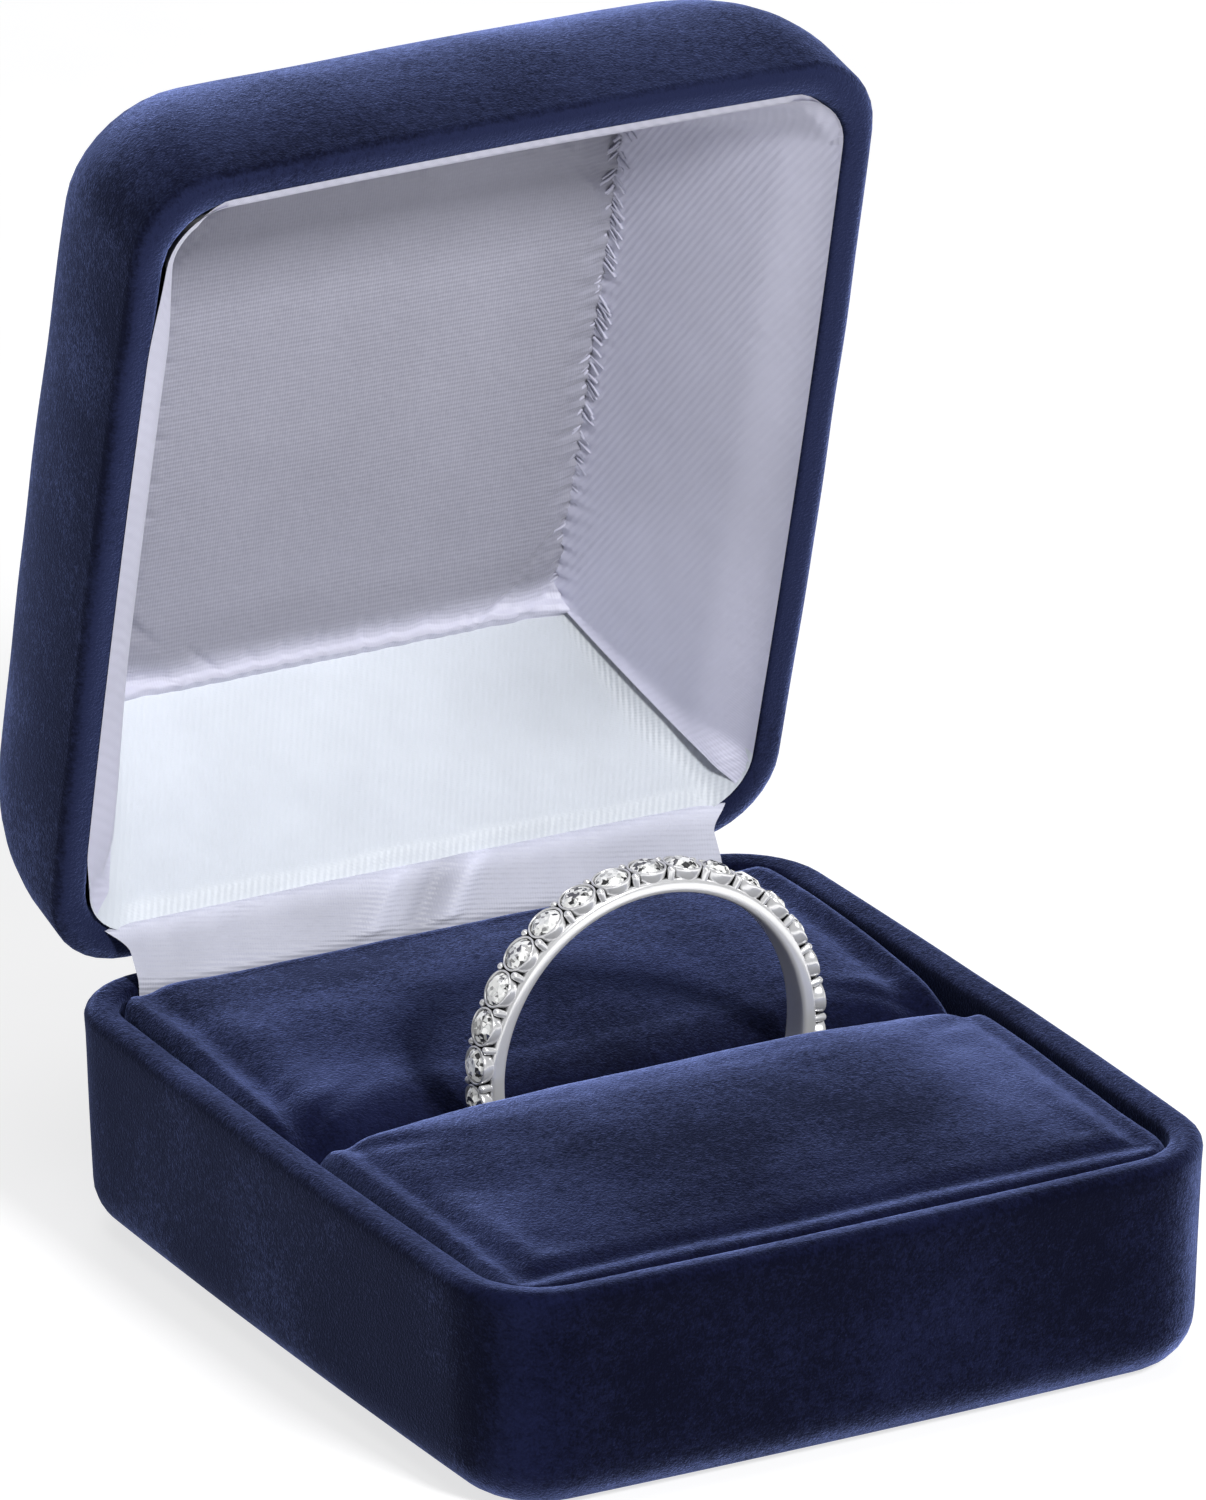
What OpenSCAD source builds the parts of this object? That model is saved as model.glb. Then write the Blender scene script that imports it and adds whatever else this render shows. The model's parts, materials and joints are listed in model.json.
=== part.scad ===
// Hinged ring box: velvet-covered case, two ring cushions, satin-lined pillow lid and an eternity ring.
// Millimetres, +Z up, +Y towards the hinge. The origin is the centre of the underside.
// The lid is designed closed and drawn swung open about the hinge line, which is its rest position.

/* [Case] */
// Width of the case across the hinge line
box_w = 48.5; // [44:0.5:60]
// Depth of the case from front to hinge
box_d = 54.5; // [50:0.5:66]
// Height of the base, from the underside to its rim
base_h = 13.7; // [13:0.1:16]
// Height of the lid, from its rim to the top of the pillow
lid_h = 19.4; // [19:0.1:24]
// Plan radius of the upright corners of the base
corner_r = 5.8; // [5:0.1:8]
// Gap between the two rims when the lid is shut
rim_gap = 0.2; // [0.2:0.05:0.4]
// How far the base narrows towards its foot, on each side
base_draft = 0.55; // [0:0.05:0.8]
// Radius of the edge round the foot
foot_r = 3.1; // [2:0.1:3.4]
// Radius of the soft crest along the outer edge of each rim
crest_r = 0.75; // [0.4:0.05:0.9]

/* [Lid pillow] */
// Plan radius of the lid's corners at its rim
lid_corner_r = 5; // [4:0.1:6]
// How fast the corner radius grows as the pillow closes in
lid_corner_growth = 0.45; // [0.2:0.05:0.6]
// Fullness of the pillow in plan
pillow_plan = 3; // [2.5:0.1:4]
// Fullness of the pillow in height
pillow_rise = 2.95; // [2.5:0.05:3.5]

/* [Shell and velvet] */
// Thickness of the flocked velvet
velvet_t = 0.5; // [0.4:0.05:0.6]
// Thickness of the moulded shell
shell_t = 1.1; // [1:0.05:1.3]
// How far the velvet wraps down inside the rims
wrap_h = 5; // [3:0.5:6]

/* [Cushions] */
// Width of the slot between the two cushions
slot_w = 2.8; // [2.8:0.1:3.4]
// Height of the front cushion's crest
front_crest = 15; // [14.5:0.1:15.5]
// Height of the rear cushion's crest
rear_crest = 14.2; // [13.6:0.1:14.4]
// Thickness of the velvet on the cushions
cover_t = 0.5; // [0.4:0.05:0.6]

/* [Hinge] */
// How far the lid swings from shut to rest
open_angle = 76; // [70:1:90]
// Length of the hinge barrel
hinge_w = 28; // [24:1:32]
// Radius of the hinge barrel
barrel_r = 0.9; // [0.8:0.05:1]
// Radius of the hinge pin
pin_r = 0.45; // [0.35:0.05:0.5]
// Thickness of the two leaves
leaf_t = 0.45; // [0.35:0.05:0.5]

/* [Lining] */
// Depth of the lining's top panel below the lid's rim
lining_depth = 13.6; // [12:0.1:14]
// Inset of the top panel from the case's sides
lining_inset_x = 8.8; // [8.6:0.1:10]
// Inset of the top panel from the case's front and back
lining_inset_y = 9.8; // [9.6:0.1:11]
// Thickness of the satin panels
satin_t = 0.4; // [0.3:0.05:0.5]
// Width of the satin flap that covers the hinge
flap_w = 39; // [36:0.5:39]

/* [Ring] */
// Inside diameter of the ring
finger_d = 19.5; // [15:0.1:20]
// Width of the band along the finger
band_w = 2.2; // [1.6:0.1:2.2]
// Number of stones round the band
stone_count = 30; // [24:1:32]
// Diameter of one stone
stone_d = 1.96; // [1.6:0.02:2]

/* [Hidden] */
$fn = 48;

// colours of the materials
VELVET = "#27305c";
SATIN = "#d9d9ea";
CARD = "#c8c2b4";
FOAM = "#b9bcc4";
PLASTIC = "#20222b";
STEEL = "#a9adb3";
PLATINUM = "#dfe0e2";
DIAMOND = "#eef3f8";

half_w = box_w / 2;
half_d = box_d / 2;
inner = velvet_t + shell_t;               // inset of the shells' inner faces
mouth = inner + velvet_t;                 // inset of the rims' velvet lining
mouth_z = base_h + rim_gap;               // height of the lid's rim when shut
inside_foot_r = 1.4;                      // radius along the floor of the base's hollow
floor_z = inner;                          // top of the shell's floor
card_t = 0.4;                             // floor card, and the lid's cards
board_t = 0.6;                            // board that carries the cushions
board_inset = mouth + 0.9;
board_z = floor_z + card_t;
pad_z = board_z + board_t;                // where the cushions stand
liner_t = 0.35;
over = 1;                                 // how far cutters reach past a face

hinge_y = half_d + 0.05;
hinge_z = base_h + 0.3;
bore_r = pin_r + 0.05;                    // running fit on the pin
notch_r = barrel_r + 0.3;
spring_w = 5.8;                           // room for the spring in the middle of the barrel
knuckle_gap = 0.1;
end_knuckle_w = 6;
leaf_y = half_d - 1.3;                    // inner face of both leaves
leaf_h = 3.6;
leaf_clear = 1;                           // from the hinge line to the edge of a leaf
web_h = 0.55;
rivet_x = [-10.5, -4.5, 4.5, 10.5];
rivet_drop = 2.6;                         // from the hinge line to the rivets
rivet_r = 0.5;
rivet_head_r = 0.9;
rivet_head_t = 0.35;
rivet_tail = 0.25;                        // how far a rivet reaches inwards of its leaf
wire_r = 0.15;
coil_r = 0.72;                            // mean radius of the spring's coil
spring_leg = 3.4;

cushion_side = mouth + 0.15;              // inset of the cushions from the case's sides
cushion_back = mouth + 0.8;               // the flap hangs between this edge and the wall
case_corner = [corner_r - cushion_side, 2.4]; // corner radius towards the case: upright sides, top
slot_corner = [0.8, 2];                   // corner radius towards the slot: upright sides, top
slot_y = 0.05;                            // middle of the slot
front_edge_z = 12.8;
rear_edge_z = 12.3;

flap_t = 0.25;
flap_y = half_d - 2.6;                    // front face of the tucked part
flap_lid_y = half_d - 2.7;                // the same for the part inside the lid, when shut

ring_x = 0.5;
ring_z = 14.75;
ring_r = finger_d / 2;
metal_t = 1.05;                           // thickness of the band below the stones' girdles
girdle_r = ring_r + metal_t + 0.35;       // radius at which the girdles sit
crown_h = 0.5;
pavilion_h = 0.85;
seat_gap = 0.03;
bead_r = 0.26;
bead_y = 0.72;

// ---------- shared shapes ----------

// Flat rounded rectangle between two x and two y values.
module plate(x0, x1, y0, y1, r) {
    translate([x0 + r, y0]) square([x1 - x0 - 2 * r, y1 - y0]);
    translate([x0, y0 + r]) square([x1 - x0, y1 - y0 - 2 * r]);
    for (x = [x0 + r, x1 - r], y = [y0 + r, y1 - r]) {
        translate([x, y]) circle(r);
    }
}

// Plan outline of the case, inset on every side.
module case_plan(inset) {
    plate(-half_w + inset, half_w - inset, -half_d + inset, half_d - inset, corner_r - inset);
}

function arc(cx, cy, r, from, to, steps) =
    [for (i = [0 : steps]) let (t = from + (to - from) * i / steps) [cx + r * cos(t), cy + r * sin(t)]];

// Upright half section of the base: x runs out from a corner's axis.
function base_section(inset, z_low, z_high, foot, crest) =
    let (
        out_low = corner_r - inset - base_draft * (1 - z_low / base_h),
        out_high = corner_r - inset - base_draft * (1 - z_high / base_h)
    )
    concat(
        [[0, z_low]],
        arc(out_low - foot, z_low + foot, foot, -90, 0, 6),
        arc(out_high - crest, z_high - crest, crest, 0, 90, 4),
        [[0, z_high]]
    );

// Solid of the base's shape: the section goes round the four corners and along the sides.
module base_solid(inset, z_low, z_high, foot, crest) {
    section = base_section(inset, z_low, z_high, foot, crest);
    cx = half_w - corner_r;
    cy = half_d - corner_r;
    translate([-cx, -cy, z_low]) cube([2 * cx, 2 * cy, z_high - z_low]);
    for (k = [0 : 3]) {
        sx = (k == 0 || k == 3) ? cx : -cx;
        sy = k < 2 ? cy : -cy;
        translate([sx, sy, 0]) rotate([0, 0, 90 * k]) rotate_extrude(angle = 90) polygon(section);
    }
    for (side = [0, 1]) {
        mirror([0, side, 0]) translate([cx, cy, 0])
            rotate([90, 0, -90]) linear_extrude(2 * cx) polygon([for (p = section) [-p[0], p[1]]]);
        mirror([side, 0, 0]) translate([cx, cy, 0])
            rotate([90, 0, 0]) linear_extrude(2 * cy) polygon(section);
    }
}

// Points of one level ring: a rounded rectangle at height z, with one corner radius at the front
// and one at the back.
function ring_points(x0, x1, y0, y1, r_front, r_back, z, n = 8) = [
    for (k = [0 : 3], i = [0 : n])
        let (
            t = 90 * k + 90 * i / n,
            r = k < 2 ? r_back : r_front,
            cx = (k == 0 || k == 3) ? x1 - r : x0 + r,
            cy = k < 2 ? y1 - r : y0 + r
        )
        [cx + r * cos(t), cy + r * sin(t), z]
];

// Closed solid through a stack of level rings, lowest first.
module loft(rings) {
    n = len(rings[0]);
    levels = len(rings);
    polyhedron(
        points = [for (ring = rings) for (p = ring) p],
        faces = concat(
            [[for (i = [0 : n - 1]) i]],
            [for (l = [0 : levels - 2], i = [0 : n - 1], half = [0, 1])
                let (a = l * n + i, b = l * n + (i + 1) % n)
                half == 0 ? [a, a + n, b] : [b, a + n, b + n]],
            [[for (i = [n - 1 : -1 : 0]) (levels - 1) * n + i]]
        )
    );
}

// One level of the lid's pillow.
function lid_ring(inset, skin, z) =
    let (
        wanted = max(lid_corner_r - skin, 0.5) + lid_corner_growth * inset,
        r = min(wanted, half_w - skin - inset - 0.02)
    )
    ring_points(
        -half_w + skin + inset, half_w - skin - inset,
        -half_d + skin + inset, half_d - skin - inset,
        r, r, z
    );

// The pillow, inset by a skin on every side and the top. The crest rounds its rim.
module lid_solid(skin, crest, z_low = 0) {
    reach = half_w - skin;
    rise = lid_h - skin;
    rim = crest > 0 ? [for (t = [0 : 30 : 60]) lid_ring(crest * (1 - sin(t)), skin, crest * (1 - cos(t)))] : [];
    start = crest > 0 ? crest : z_low;
    body = concat([lid_ring(0, skin, start)], [
        for (t = [9 : 9 : 81])
            lid_ring(reach * (1 - pow(cos(t), 2 / pillow_plan)), skin, rise * pow(sin(t), 2 / pillow_rise))
    ], [lid_ring(reach - 0.6, skin, rise)]);
    translate([0, 0, mouth_z]) loft(concat(rim, body));
}

// Swings what was designed on the shut lid to the rest position.
module opened() {
    translate([0, hinge_y, hinge_z]) rotate([-open_angle, 0, 0]) translate([0, -hinge_y, -hinge_z]) children();
}

// The same for one point of a side view, [y, z].
function opened_point(p) =
    let (y = p[0] - hinge_y, z = p[1] - hinge_z)
    [hinge_y + y * cos(open_angle) + z * sin(open_angle), hinge_z - y * sin(open_angle) + z * cos(open_angle)];

// Cylinder along the hinge line, between two x values.
module along_hinge(r, x0, x1) {
    translate([x0, hinge_y, hinge_z]) rotate([0, 90, 0]) cylinder(r = r, h = x1 - x0);
}

// ---------- hinge ----------

// Works on the base's side of the hinge line, or on the lid's side of it when shut.
module hinge_side(up) {
    translate([0, 0, hinge_z]) mirror([0, 0, up ? 0 : 1]) children();
}

module leaf_pocket() {
    translate([-hinge_w / 2, leaf_y, leaf_clear]) cube([hinge_w, leaf_t, leaf_h]);
}

module webs(spans) {
    for (s = spans) {
        translate([s[0], leaf_y, leaf_clear - web_h / 2]) cube([s[1] - s[0], 0.9, web_h]);
    }
}

module rivet_shanks(r, y0, y1) {
    for (x = rivet_x) {
        translate([x, y0, rivet_drop]) rotate([-90, 0, 0]) cylinder(r = r, h = y1 - y0);
    }
}

module rivet_heads() {
    head_y = leaf_y + leaf_t;
    rivet_shanks(rivet_head_r, head_y, head_y + rivet_head_t);
}

module spring_legs(r) {
    for (side = [0, 1]) {
        x = (side == 0 ? -1 : 1) * (spring_w / 2 - 2 * wire_r);
        if (side == 0) {
            hinge_side(false) translate([x, hinge_y - coil_r, 0]) cylinder(r = r, h = spring_leg);
        } else {
            opened() hinge_side(true) translate([x, hinge_y - coil_r, 0]) cylinder(r = r, h = spring_leg);
        }
    }
}

base_spans = [[-hinge_w / 2, -hinge_w / 2 + end_knuckle_w], [hinge_w / 2 - end_knuckle_w, hinge_w / 2]];
lid_spans = [
    [-hinge_w / 2 + end_knuckle_w + knuckle_gap, -spring_w / 2 - knuckle_gap],
    [spring_w / 2 + knuckle_gap, hinge_w / 2 - end_knuckle_w - knuckle_gap]
];

module leaf(up, spans) {
    difference() {
        union() {
            hinge_side(up) leaf_pocket();
            hinge_side(up) webs(spans);
            for (s = spans) {
                along_hinge(barrel_r, s[0], s[1]);
            }
        }
        along_hinge(bore_r, -hinge_w / 2 - over, hinge_w / 2 + over);
        hinge_side(up) rivet_shanks(rivet_r, leaf_y - over, leaf_y + leaf_t + over);
    }
}

// Everything of the hinge that a shell or its velvet makes room for.
module hinge_room(up, spans) {
    along_hinge(notch_r, -hinge_w / 2 - 2 * knuckle_gap, hinge_w / 2 + 0.6);
    along_hinge(notch_r, -hinge_w / 2 - 0.6, 0);
    hinge_side(up) {
        leaf_pocket();
        webs(spans);
        rivet_shanks(rivet_r, leaf_y - rivet_tail, leaf_y);
        rivet_heads();
    }
}

module base_hinge_leaf() {
    color(STEEL) leaf(false, base_spans);
}

module lid_hinge_leaf() {
    color(STEEL) opened() leaf(true, lid_spans);
}

module rivets(up) {
    hinge_side(up) {
        rivet_shanks(rivet_r, leaf_y - rivet_tail, leaf_y + leaf_t);
        rivet_heads();
    }
}

module base_hinge_rivets() {
    color(STEEL) rivets(false);
}

module lid_hinge_rivets() {
    color(STEEL) opened() rivets(true);
}

module hinge_pin() {
    head_t = 0.35;
    color(STEEL) {
        along_hinge(pin_r, -hinge_w / 2 - knuckle_gap, hinge_w / 2 + knuckle_gap);
        for (x = [-hinge_w / 2 - knuckle_gap - head_t, hinge_w / 2 + knuckle_gap]) {
            along_hinge(barrel_r - 0.15, x, x + head_t);
        }
    }
}

// Close-wound torsion spring: a grooved sleeve round the pin, with one leg against each half.
module snap_spring() {
    pitch = 2 * wire_r;
    turns = floor((spring_w - 2 * knuckle_gap) / pitch);
    start = -turns * pitch / 2;
    outline = concat(
        [[coil_r - wire_r, start], [coil_r - wire_r, -start]],
        [for (i = [turns - 1 : -1 : 0]) for (t = [60, 0, -60])
            [coil_r + wire_r * cos(t), start + (i + 0.5) * pitch + wire_r * 0.9 * sin(t)]]
    );
    color(STEEL) {
        translate([0, hinge_y, hinge_z]) rotate([0, 90, 0]) rotate_extrude() polygon(outline);
        spring_legs(wire_r);
    }
}

// ---------- base ----------

module base_shell_solid() {
    difference() {
        base_solid(velvet_t, velvet_t, base_h - velvet_t, foot_r - velvet_t, 0.3);
        base_hollow(base_h + over);
    }
}

// The hollow that holds the cushions, up to a height.
module base_hollow(top_z) {
    base_solid(inner, floor_z, top_z, inside_foot_r, 0.05);
}

module base_shell() {
    color(PLASTIC) difference() {
        base_shell_solid();
        hinge_room(false, base_spans);
        spring_legs(wire_r + 0.05);
    }
}

// Flocked skin: outside, underside, over the rim and a little way down inside it.
module base_velvet() {
    wrap_z = base_h - wrap_h;
    color(VELVET) difference() {
        base_solid(0, 0, base_h, foot_r, crest_r);
        base_shell_solid();
        base_hollow(wrap_z);
        translate([0, 0, wrap_z - 0.1]) linear_extrude(wrap_h + over) case_plan(mouth);
        hinge_room(false, base_spans);
        spring_legs(wire_r + 0.05);
    }
}

module base_floor_card() {
    color(CARD) translate([0, 0, floor_z]) linear_extrude(card_t) case_plan(inner + base_draft + inside_foot_r + 0.05);
}

module insert_board() {
    color(CARD) translate([0, 0, board_z]) linear_extrude(board_t) case_plan(board_inset);
}

// Corner radius part of the way up a roll.
function rolled_radius(corner, roll, skin) =
    max(corner[0] - skin, 0.3) + (corner[1] - corner[0]) * roll;

// Crowned cushion: upright sides, then a quarter-ellipse roll of its own length on each side.
module cushion(y_range, z_range, roll_x, roll_y, corner_front, corner_back, skin) {
    x1 = half_w - cushion_side - skin;
    y0 = y_range[0] + skin;
    y1 = y_range[1] - skin;
    edge = z_range[0] - skin;
    top = z_range[1] - skin;
    rings = concat(
        [ring_points(
            -x1, x1, y0, y1,
            rolled_radius(corner_front, 0, skin), rolled_radius(corner_back, 0, skin), pad_z
        )],
        [for (t = [0 : 15 : 90])
            let (roll = 1 - cos(t))
            ring_points(
                -x1 + roll_x * roll, x1 - roll_x * roll,
                y0 + roll_y[0] * roll, y1 - roll_y[1] * roll,
                rolled_radius(corner_front, roll, skin), rolled_radius(corner_back, roll, skin),
                edge + (top - edge) * sin(t)
            )]
    );
    loft(rings);
}

module front_cushion(skin) {
    y_range = [-half_d + cushion_side, slot_y - slot_w / 2];
    cushion(y_range, [front_edge_z, front_crest], 7, [17, 1.6], case_corner, slot_corner, skin);
}

module rear_cushion(skin) {
    y_range = [slot_y + slot_w / 2, half_d - cushion_back];
    cushion(y_range, [rear_edge_z, rear_crest], 6, [12, 2.5], slot_corner, case_corner, skin);
}

module front_cushion_foam() {
    color(FOAM) front_cushion(cover_t);
}

module front_cushion_velvet() {
    color(VELVET) difference() {
        front_cushion(0);
        front_cushion(cover_t);
    }
}

module rear_cushion_foam() {
    color(FOAM) rear_cushion(cover_t);
}

module rear_cushion_velvet() {
    color(VELVET) difference() {
        rear_cushion(0);
        rear_cushion(cover_t);
    }
}

// Velvet strip along the bottom of the slot, where the ring stands.
module slot_liner() {
    gap = 0.1;
    color(VELVET) translate([-half_w + board_inset + 1, slot_y - slot_w / 2 + gap, pad_z])
        cube([box_w - 2 * board_inset - 2, slot_w - 2 * gap, liner_t]);
}

// Satin flap from the lid's lining, over the hinge, to its tuck behind the rear cushion.
module hinge_flap() {
    lid_reach = 1.8;
    tuck_z = base_h - 0.1;
    foot_z = base_h - 7.5;
    front = [
        opened_point([flap_lid_y, mouth_z + lid_reach]), opened_point([flap_lid_y, hinge_z]),
        [flap_y, tuck_z], [flap_y, foot_z]
    ];
    back = [
        [flap_y + flap_t, foot_z], [flap_y + flap_t, tuck_z],
        opened_point([flap_lid_y + flap_t, hinge_z]), opened_point([flap_lid_y + flap_t, mouth_z + lid_reach])
    ];
    color(SATIN) translate([-flap_w / 2, 0, 0]) rotate([90, 0, 90]) linear_extrude(flap_w)
        polygon(concat(front, back));
}

// ---------- lid ----------

module lid_shell_solid() {
    difference() {
        lid_solid(velvet_t, 0, velvet_t);
        lid_solid(inner, 0, -over);
    }
}

module lid_shell() {
    color(PLASTIC) difference() {
        opened() difference() {
            lid_shell_solid();
            hinge_room(true, lid_spans);
        }
        spring_legs(wire_r + 0.1);
    }
}

module lid_velvet() {
    color(VELVET) difference() {
        opened() difference() {
            lid_solid(0, crest_r);
            lid_shell_solid();
            intersection() {
                lid_solid(inner, 0, -over);
                translate([-box_w, -box_d, mouth_z + wrap_h]) cube([2 * box_w, 2 * box_d, lid_h]);
            }
            translate([0, 0, mouth_z - over]) linear_extrude(wrap_h + over + 0.1) case_plan(mouth);
            hinge_room(true, lid_spans);
        }
        spring_legs(wire_r + 0.1);
    }
}

// Insets of the lining at a depth below the rim, in x and y.
function lining_inset(limit, depth) = mouth + 0.05 + (limit - mouth) * depth / lining_depth;

function lining_radius(depth) = 3.6 - 1.2 * depth / lining_depth;

// Tapering block inside the lid between two depths, grown by a skin.
module lining_block(depth0, depth1, skin) {
    rings = [for (depth = [depth0, depth1])
        let (
            ix = lining_inset(lining_inset_x, depth) - skin,
            iy = lining_inset(lining_inset_y, depth) - skin
        )
        ring_points(
            -half_w + ix, half_w - ix, -half_d + iy, half_d - iy,
            lining_radius(depth), lining_radius(depth), mouth_z + depth
        )];
    loft(rings);
}

// Keeps one side of the lining: 0 right, 1 hinge side, 2 left, 3 front.
module lining_side(k) {
    near_x = half_w - mouth;
    near_y = half_d - mouth;
    far_x = half_w - lining_inset_x;
    far_y = half_d - lining_inset_y;
    step_x = near_x - far_x;
    step_y = near_y - far_y;
    seam = 0.04;
    wide = [near_x + step_x, near_y + step_y];
    deep = [far_x - step_x, far_y - step_y];
    side = k % 2 == 0
        ? [
            [wide[0], -wide[1] + seam], [wide[0], wide[1] - seam],
            [deep[0], deep[1] - seam], [deep[0], -deep[1] + seam]
        ]
        : [
            [wide[0] - seam, wide[1]], [-wide[0] + seam, wide[1]],
            [-deep[0] + seam, deep[1]], [deep[0] - seam, deep[1]]
        ];
    flip = k >= 2 ? -1 : 1;
    intersection() {
        children();
        translate([0, 0, mouth_z - over]) linear_extrude(lid_h) polygon([for (p = side) flip * p]);
    }
}

module satin_wall(k, depth0) {
    color(SATIN) opened() lining_side(k) difference() {
        lining_block(depth0, lining_depth - satin_t - 0.1, 0);
        lining_block(depth0 - over, lining_depth, -satin_t);
    }
}

module lid_right_satin() {
    satin_wall(0, 0.6);
}

module lid_hinge_side_satin() {
    satin_wall(1, 2.4);
}

module lid_left_satin() {
    satin_wall(2, 0.6);
}

module lid_front_satin() {
    satin_wall(3, 0.6);
}

// One bent card behind the four satin walls.
module lid_wall_card() {
    color(CARD) opened() difference() {
        lining_block(wrap_h + 0.2, lining_depth, card_t);
        lining_block(wrap_h - over, lining_depth + over, 0);
    }
}

// Level sheets of the top panel, from the satin outwards.
module top_sheet(depth0, depth1, skin) {
    ix = lining_inset_x - skin;
    iy = lining_inset_y - skin;
    opened() translate([0, 0, mouth_z + depth0]) linear_extrude(depth1 - depth0)
        plate(-half_w + ix, half_w - ix, -half_d + iy, half_d - iy, 2.4);
}

module lid_top_satin() {
    color(SATIN) top_sheet(lining_depth - satin_t, lining_depth, -0.6);
}

module lid_top_wadding() {
    color(FOAM) top_sheet(lining_depth, lining_depth + 0.4, -0.3);
}

module lid_top_card() {
    color(CARD) top_sheet(lining_depth + 0.4, lining_depth + 0.4 + card_t, 0);
}

// ---------- ring ----------

// Turns its children from a stone's own axis, +Z outwards, to each place round the band.
module round_band(offset = 0) {
    step = 360 / stone_count;
    for (i = [0 : stone_count - 1]) {
        rotate([0, (i + offset) * step, 0]) translate([0, 0, girdle_r]) children();
    }
}

module stone(grow) {
    table = 0.55;
    cylinder(r1 = stone_d / 2 + grow, r2 = stone_d / 2 * table + grow, h = crown_h);
    translate([0, 0, -pavilion_h - grow]) cylinder(r1 = 0.05, r2 = stone_d / 2 + grow, h = pavilion_h + grow);
}

module ring_place() {
    translate([ring_x, 0, ring_z]) children();
}

// Comfort-fit band with a seat under each stone and shared beads between them.
module ring_band() {
    half = band_w / 2;
    edge = 0.25;
    outer = ring_r + metal_t;
    section = [
        [ring_r + 0.12, -half], [ring_r, -half + 0.5], [ring_r, half - 0.5], [ring_r + 0.12, half],
        [outer - edge, half], [outer + 0.1, half - edge], [outer + 0.1, -half + edge], [outer - edge, -half]
    ];
    color(PLATINUM) ring_place() difference() {
        union() {
            rotate([90, 0, 0]) rotate_extrude() polygon(section);
            for (y = [-bead_y, bead_y]) {
                round_band(0.5) translate([0, y, -0.8]) cylinder(r = bead_r, h = 1, $fn = 16);
            }
        }
        round_band() stone(seat_gap);
    }
}

module ring_stones() {
    color(DIAMOND) ring_place() round_band() stone(0);
}

base_shell();
base_velvet();
base_floor_card();
insert_board();
front_cushion_foam();
front_cushion_velvet();
rear_cushion_foam();
rear_cushion_velvet();
slot_liner();
base_hinge_leaf();
base_hinge_rivets();
hinge_pin();
snap_spring();
hinge_flap();
lid_shell();
lid_velvet();
lid_wall_card();
lid_top_card();
lid_top_wadding();
lid_top_satin();
lid_left_satin();
lid_right_satin();
lid_front_satin();
lid_hinge_side_satin();
lid_hinge_leaf();
lid_hinge_rivets();
ring_band();
ring_stones();
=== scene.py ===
"""Looks of the hinged ring box: velvet case, ring cushions, satin lid lining and a stone-set band.

Shapes are worked out in millimetres in the CAD part's frame and turned into metres when a mesh is made.
The lid's pieces are drawn shut and then swung open about the hinge line, as the CAD part does.
"""

import json
import math

import bmesh
import bpy
import numpy as np
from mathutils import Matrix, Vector, noise


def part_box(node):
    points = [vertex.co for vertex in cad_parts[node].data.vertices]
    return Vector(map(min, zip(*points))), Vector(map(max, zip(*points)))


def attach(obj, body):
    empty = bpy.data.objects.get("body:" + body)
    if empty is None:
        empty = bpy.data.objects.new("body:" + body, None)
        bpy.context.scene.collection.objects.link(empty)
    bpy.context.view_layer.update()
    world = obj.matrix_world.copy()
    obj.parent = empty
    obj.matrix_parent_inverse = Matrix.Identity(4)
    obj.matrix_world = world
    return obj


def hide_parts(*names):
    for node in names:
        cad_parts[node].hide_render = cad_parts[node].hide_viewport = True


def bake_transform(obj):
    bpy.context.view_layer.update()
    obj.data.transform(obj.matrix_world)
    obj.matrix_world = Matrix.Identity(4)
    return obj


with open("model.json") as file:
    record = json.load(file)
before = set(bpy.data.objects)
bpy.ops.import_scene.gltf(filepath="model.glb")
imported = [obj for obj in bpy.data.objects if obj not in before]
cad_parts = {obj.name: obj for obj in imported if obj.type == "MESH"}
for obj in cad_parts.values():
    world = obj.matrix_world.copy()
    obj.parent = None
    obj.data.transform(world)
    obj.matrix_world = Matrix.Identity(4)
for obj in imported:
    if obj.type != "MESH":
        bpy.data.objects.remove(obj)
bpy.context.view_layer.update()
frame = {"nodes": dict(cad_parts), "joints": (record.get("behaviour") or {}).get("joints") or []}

MM = 0.001


def box_mm(node):
    return [np.array(corner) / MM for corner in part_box(node)]


# ---------- sizes taken from the frame ----------

HALF_W, HALF_D, BASE_H = box_mm("base_velvet")[1]
hinge = next(j for j in frame["joints"] if j["name"] == "lid_hinge")
HINGE_Y, HINGE_Z = hinge["pos_m"][1] / MM, hinge["pos_m"][2] / MM
OPEN = math.radians(hinge["range_deg"][1])
turn = next(j for j in frame["joints"] if j["name"] == "ring_turn")
RING = np.array(turn["pos_m"]) / MM
CROWN = 0.5  # the stones' tables stand this far outside their girdles
GIRDLE_R = (box_mm("ring_stones")[1][2] - RING[2]) - CROWN

# ---------- other sizes: the CAD part's, with small allowances for the looks ----------

CORNER_R = 5.8  # plan corners of the case, at its rims
MOUTH_Z = BASE_H + 0.2  # the shut lid's rim
MOUTH = 2.1  # from the case's side to the inside of its rim
WRAP = 5.0  # how far the velvet reaches down inside the rim
DRAFT = 0.55  # the base's walls lean in by this much at the underside
FOOT_R = 3.1  # between the base's walls and its underside
CREST_R = 0.75  # outer edge of both rims
SKIN = 0.46  # thickness of the velvet with its backing
SKIN_STEP = 0.12  # more room round the hinge barrel for the skin's inner face
LID_H = 19.4
LID_CORNER = 5.0  # plan corners of the lid where its pillow starts
LID_GROWTH = 0.45  # how fast those corners widen towards the top
LID_BOW = 0.38  # the lid bows a little less than the base
BARREL_HALF = 14.6  # half length of the room for the hinge barrel
BARREL_ROOM = 1.06  # radius of that room
LINING_D = 13.4  # from the lid's rim to the top panel
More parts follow.
